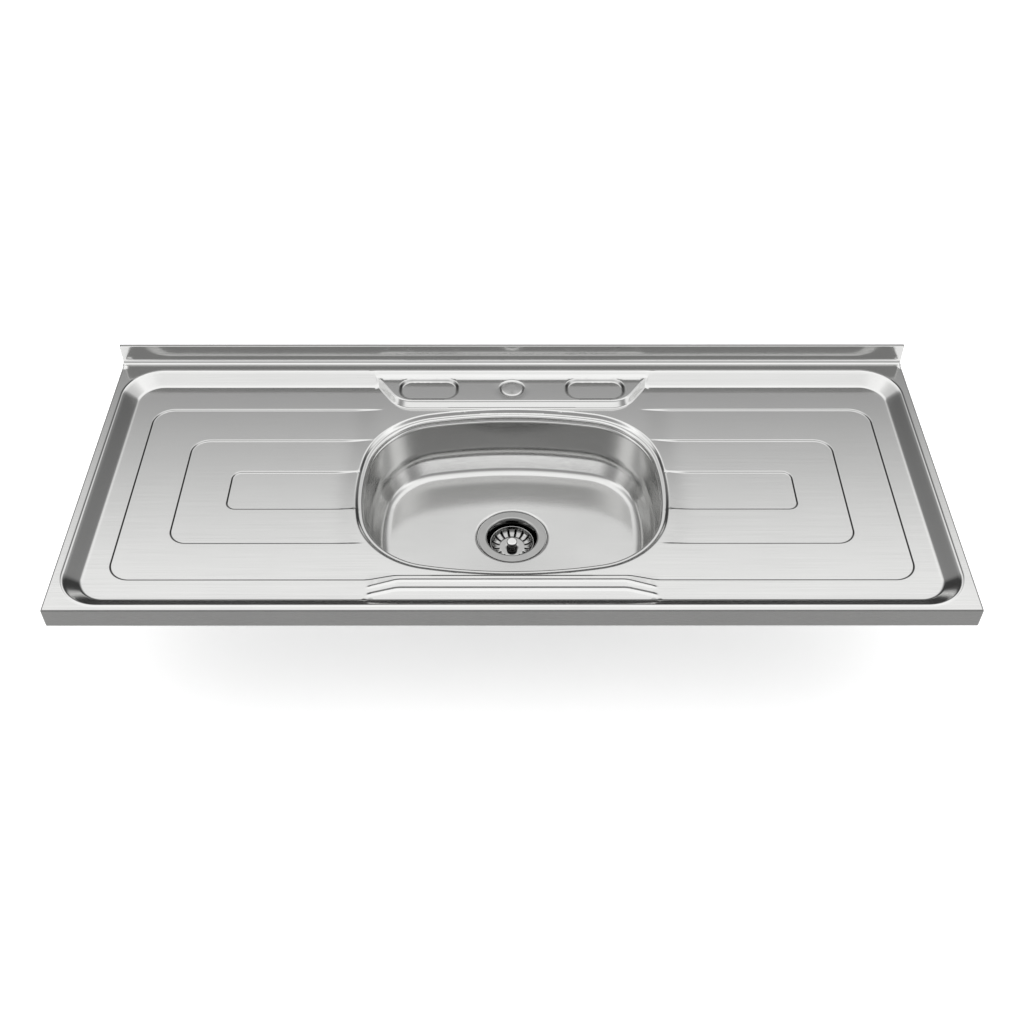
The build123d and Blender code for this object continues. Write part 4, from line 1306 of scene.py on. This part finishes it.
@dataclass
class Basket(DressedNodes):
    """The basket that lifts out: its slotted dish, and its knob, stem and stopper."""

    finishes: Sequence[tuple[Finish, str]] = (
        (TURNED_KNOB, "basket_knob"),
        (BUFFED_BASKET, "basket_stem stopper_retainer stopper_washer"),
        (BLACK_RUBBER, "stopper_seal"),
        (SPRING_STEEL, "stem_clip"),
    )
    wall: float = 0.7
    bead_radius: float = 0.8
    floor_rows: tuple[float, ...] = (4.0, 11.0, 16.0, 17.4)     # from its hole outwards
    floor_radius: float = 18.0
    bulge: tuple[float, float] = (0.72, 0.28)    # share of the way out, of the way up
    # rows of the wall, closer at the slots' round ends: first share, last share, number
    wall_rows: tuple[tuple[float, float, int], ...] = ((0.0, 1.0, 25), (0.02, 0.16, 12), (0.62, 0.84, 14))
    rim_points: int = 17
    slots: int = 16
    slot_width: float = 2.6
    slot_reach: tuple[float, float] = (18.7, 29.9)
    web_steps: int = 5            # of the mesh between two slots

    def profile(self) -> Array:
        """The upper face from the hole to the end of the rolled rim.

        The wall is the circle's arc through the floor's edge, the bulge and the rim's
        inner side.

        Returns:
            Rows of distance from the middle and height.
        """
        bead = np.array([BASKET[1, 0] - self.bead_radius, BASKET[1, 2] - self.bead_radius])
        start = np.array([self.floor_radius, BASKET[0, 2] + self.wall])
        end = bead - (self.bead_radius, 0.0)
        sides = np.array([(end - start) * self.bulge, end - start])
        centre = start + np.linalg.solve(2 * sides, (sides ** 2).sum(axis=1))
        first, last = (math.atan2(*(place - centre)[::-1]) for place in (start, end))
        share = np.unique(np.round(np.concatenate([np.linspace(*rows) for rows in self.wall_rows]), 4))
        arc = centre + np.hypot(*(start - centre)) * around(first + share * (last - first))
        rolled = bead + self.bead_radius * around(np.radians(np.linspace(180, -90, self.rim_points)[1:]))
        return np.concatenate([crossed(self.floor_rows, start[1:]), arc, rolled])

    def dish(self) -> None:
        """Builds the dish as one sheet, its slots left open.

        At each radius r a slot's edge lies at the angle asin(h / r) from its middle.
        Its half width h is that of a slot with round ends, and 0 beyond them, where
        its two edges are one line.
        """
        profile = self.profile()
        radius, half = profile[:, 0], self.slot_width / 2
        past = np.maximum(self.slot_reach[0] + half - radius, radius - self.slot_reach[1] + half)
        open_half = np.sqrt(np.clip(half ** 2 - np.maximum(past, 0) ** 2, 0, None))
        open_half[profile[:, 1] > BASKET[1, 2] - 2 * self.bead_radius] = 0
        edge = np.arcsin(open_half / radius)[:, None, None]
        sector = 2 * math.pi / self.slots
        share = np.linspace(0, 1, self.web_steps + 1)
        middles = (np.arange(self.slots) + 0.5)[:, None] * sector
        angles = (middles + edge + share * (sector - 2 * edge)).reshape(len(profile), -1)
        grid = raised(radius[:, None, None] * around(angles) + (0.0, WASTE_Y), profile[:, 1:, None])
        cells = np.ones((len(profile) - 1, angles.shape[1]), bool)
        cells[(open_half[:-1] > 0) | (open_half[1:] > 0), self.web_steps::self.web_steps + 1] = False
        skin = Skin()
        skin.add(grid, grid_triangles(*angles.shape, closed=True)[np.tile(cells.ravel(), 2)], flip=True)
        skin.sheet("slotted_basket", self.wall, (BUFFED_BASKET,), "basket",
                   "strainer_basket")

    def build(self) -> None:
        """Builds the dish and dresses the nodes."""
        self.dish()
        super().build()


@dataclass
class Underside(DressedNodes):
    """The rails, brackets and damping pads under the top."""

    finishes: Sequence[tuple[Finish, str]] = tuple(
        (finish, f"{kind}_left {kind}_right")
        for finish, kinds in (
            (BITUMEN_SHEET, "bowl_pad drainboard_pad"),
            (ZINC_COAT, "rail_front rail_rear bracket_front bracket_rear"),
        )
        for kind in kinds.split()
    )


# ------------------------------------------------------------------ studio

@dataclass(frozen=True)
class Studio:
    """The pale floor, the soft light round the sink and the photograph's camera."""

    camera_place: tuple[float, float, float] = (-0.6, -1284.5, 1262.4)
    camera_dip: float = 45.51
    camera_turn: float = -0.027
    focal_pixels: float = 1263.5
    image_pixels: float = 1024.0
    sensor: float = 36.0
    view_end: float = 200.0       # in metres
    floor_size: float = 60000.0
    floor_glow: float = 0.45
    # angle over the sink from the wall's horizon, through overhead, to the front
    light: Pairs = (
        (0.0, 0.9), (3.0, 0.6), (8.0, 0.1), (14.0, 0.06), (26.0, 0.06), (31.0, 0.22), (35.0, 0.32),
        (39.0, 0.38), (43.5, 0.8), (46.5, 1.12), (50.0, 1.32), (62.0, 1.42), (90.0, 1.45), (112.0, 1.35),
        (122.0, 1.0), (130.0, 0.55), (137.0, 0.42), (150.0, 0.42), (156.0, 0.9), (160.0, 1.28),
        (169.0, 1.3), (174.0, 1.0), (180.0, 0.9),
    )
    # the same far to either side: dark low at the wall, a bright lamp before the sink
    side_light: Pairs = (
        (0.0, 0.9), (4.0, 0.3), (14.0, 0.04), (28.0, 0.04), (40.0, 0.25), (55.0, 0.5), (85.0, 0.8),
        (100.0, 1.6), (120.0, 1.6), (132.0, 0.5), (172.0, 0.4), (180.0, 0.9),
    )
    side_range: tuple[float, float] = (0.5, 0.78)    # how far aside that light starts, and is full
    lamp_range: tuple[float, float] = (0.84, 0.93)   # the same for a lamp at each end
    lamp: float = 1.3

    def floor(self) -> None:
        """A pale floor under the part, white to the eye, and clear when seen from below."""
        size, z = self.floor_size * MM / 2, float(CAD_BOX[0][2])
        mesh = bpy.data.meshes.new("studio_floor")
        corners = [(-size, -size, z), (size, -size, z), (size, size, z), (-size, size, z)]
        mesh.from_pydata(corners, [], [(0, 1, 2, 3)])
        paint = bpy.data.materials.new("floor_white_painted")
        mesh.materials.append(paint)
        tree = empty_tree(paint)
        rays = add_node(tree, "LightPath").outputs
        seen = rays["Is Camera Ray"]
        for ray in ("Is Glossy Ray", "Is Transmission Ray"):
            seen = add_node(tree, "Math", {0: seen, 1: rays[ray]}, operation="MAXIMUM")
        strength = add_node(tree, "Math", {0: seen, 1: self.floor_glow}, operation="MULTIPLY")
        glow = add_node(tree, "Emission", {"Strength": strength})
        matt = add_node(tree, "BsdfDiffuse", {"Color": linear("#F2F2F2")})
        both = add_node(tree, "AddShader", {0: matt, 1: glow})
        below = add_node(tree, "NewGeometry").outputs["Backfacing"]
        clear = add_node(tree, "BsdfTransparent")
        add_node(tree, "OutputMaterial", {
            "Surface": add_node(tree, "MixShader", {0: below, 1: both, 2: clear})})
        placed("studio_floor", mesh)

    def sky(self) -> None:
        """Soft light from all round: bright overhead and in front, dark low at the wall."""
        world = bpy.data.worlds.new("soft_box_light")
        bpy.context.scene.world = world
        tree = empty_tree(world)
        place = add_node(tree, "TexCoord").outputs["Generated"]
        parts = add_node(tree, "SeparateXYZ", {0: place}).outputs
        angle = add_node(tree, "Math", {0: parts["Z"], 1: parts["Y"]}, operation="ARCTAN2")
        share = add_node(tree, "Math", {0: angle, 1: math.pi}, operation="DIVIDE", use_clamp=True)
        top = max(value for _, value in self.light + self.side_light)
        light, side_light = (self.curve(tree, share, stops, top) for stops in (self.light, self.side_light))
        aside = add_node(tree, "Math", {0: parts["X"]}, operation="ABSOLUTE")
        for (start, full), over in (
            (self.side_range, side_light), (self.lamp_range, (self.lamp / top,) * 3 + (1.0,)),
        ):
            reach = add_node(tree, "MapRange", {"Value": aside, "From Min": start, "From Max": full},
                             interpolation_type="SMOOTHSTEP")
            light = add_node(tree, "Mix", {0: reach, 6: light, 7: over}, data_type="RGBA").outputs[2]
        glow = add_node(tree, "Background", {"Strength": top, "Color": light})
        add_node(tree, "OutputWorld", {"Surface": glow})

    def curve(self, tree: NodeTree, share: Node, stops: Pairs, top: float) -> NodeSocket:
        """A colour ramp of light over the angle.

        Args:
            tree: The world's node tree.
            share: Gives the angle as a share of half a turn.
            stops: Angles in degrees, each with its strength.
            top: The strength that white stands for.

        Returns:
            The ramp's colour socket.
        """
        made = add_node(tree, "ValToRGB", {"Fac": share})
        marks = made.color_ramp.elements
        for index, (degrees, value) in enumerate(stops):
            mark = marks[index] if index < 2 else marks.new(degrees / 180)
            mark.position = degrees / 180
            mark.color = (value / top, value / top, value / top, 1.0)
        return made.outputs[0]

    def camera(self) -> None:
        """The camera at the photograph's place and angle."""
        lens = bpy.data.cameras.new("photo_camera")
        lens.sensor_width = self.sensor
        lens.lens = self.focal_pixels / self.image_pixels * self.sensor
        lens.clip_end = self.view_end
        made = placed("photo_camera", lens)
        made.location = [value * MM for value in self.camera_place]
        made.rotation_euler = (math.radians(90 - self.camera_dip), 0.0, math.radians(self.camera_turn))
        bpy.context.scene.camera = made

    def build(self) -> None:
        """Sets up the whole studio."""
        for part in (self.floor, self.sky, self.camera):
            part()
        bpy.context.scene.view_settings.view_transform = "Standard"


def main() -> None:
    """Builds the sink in order, then the studio."""
    logging.basicConfig(level=logging.INFO, format="%(name)s: %(message)s")
    for part in (PressedTop(), DrawnBowl(), Waste(), Basket(), Underside(), Studio()):
        part.build()
        LOG.info("finished %s", type(part).__name__)


if __name__ == "__main__":
    main()
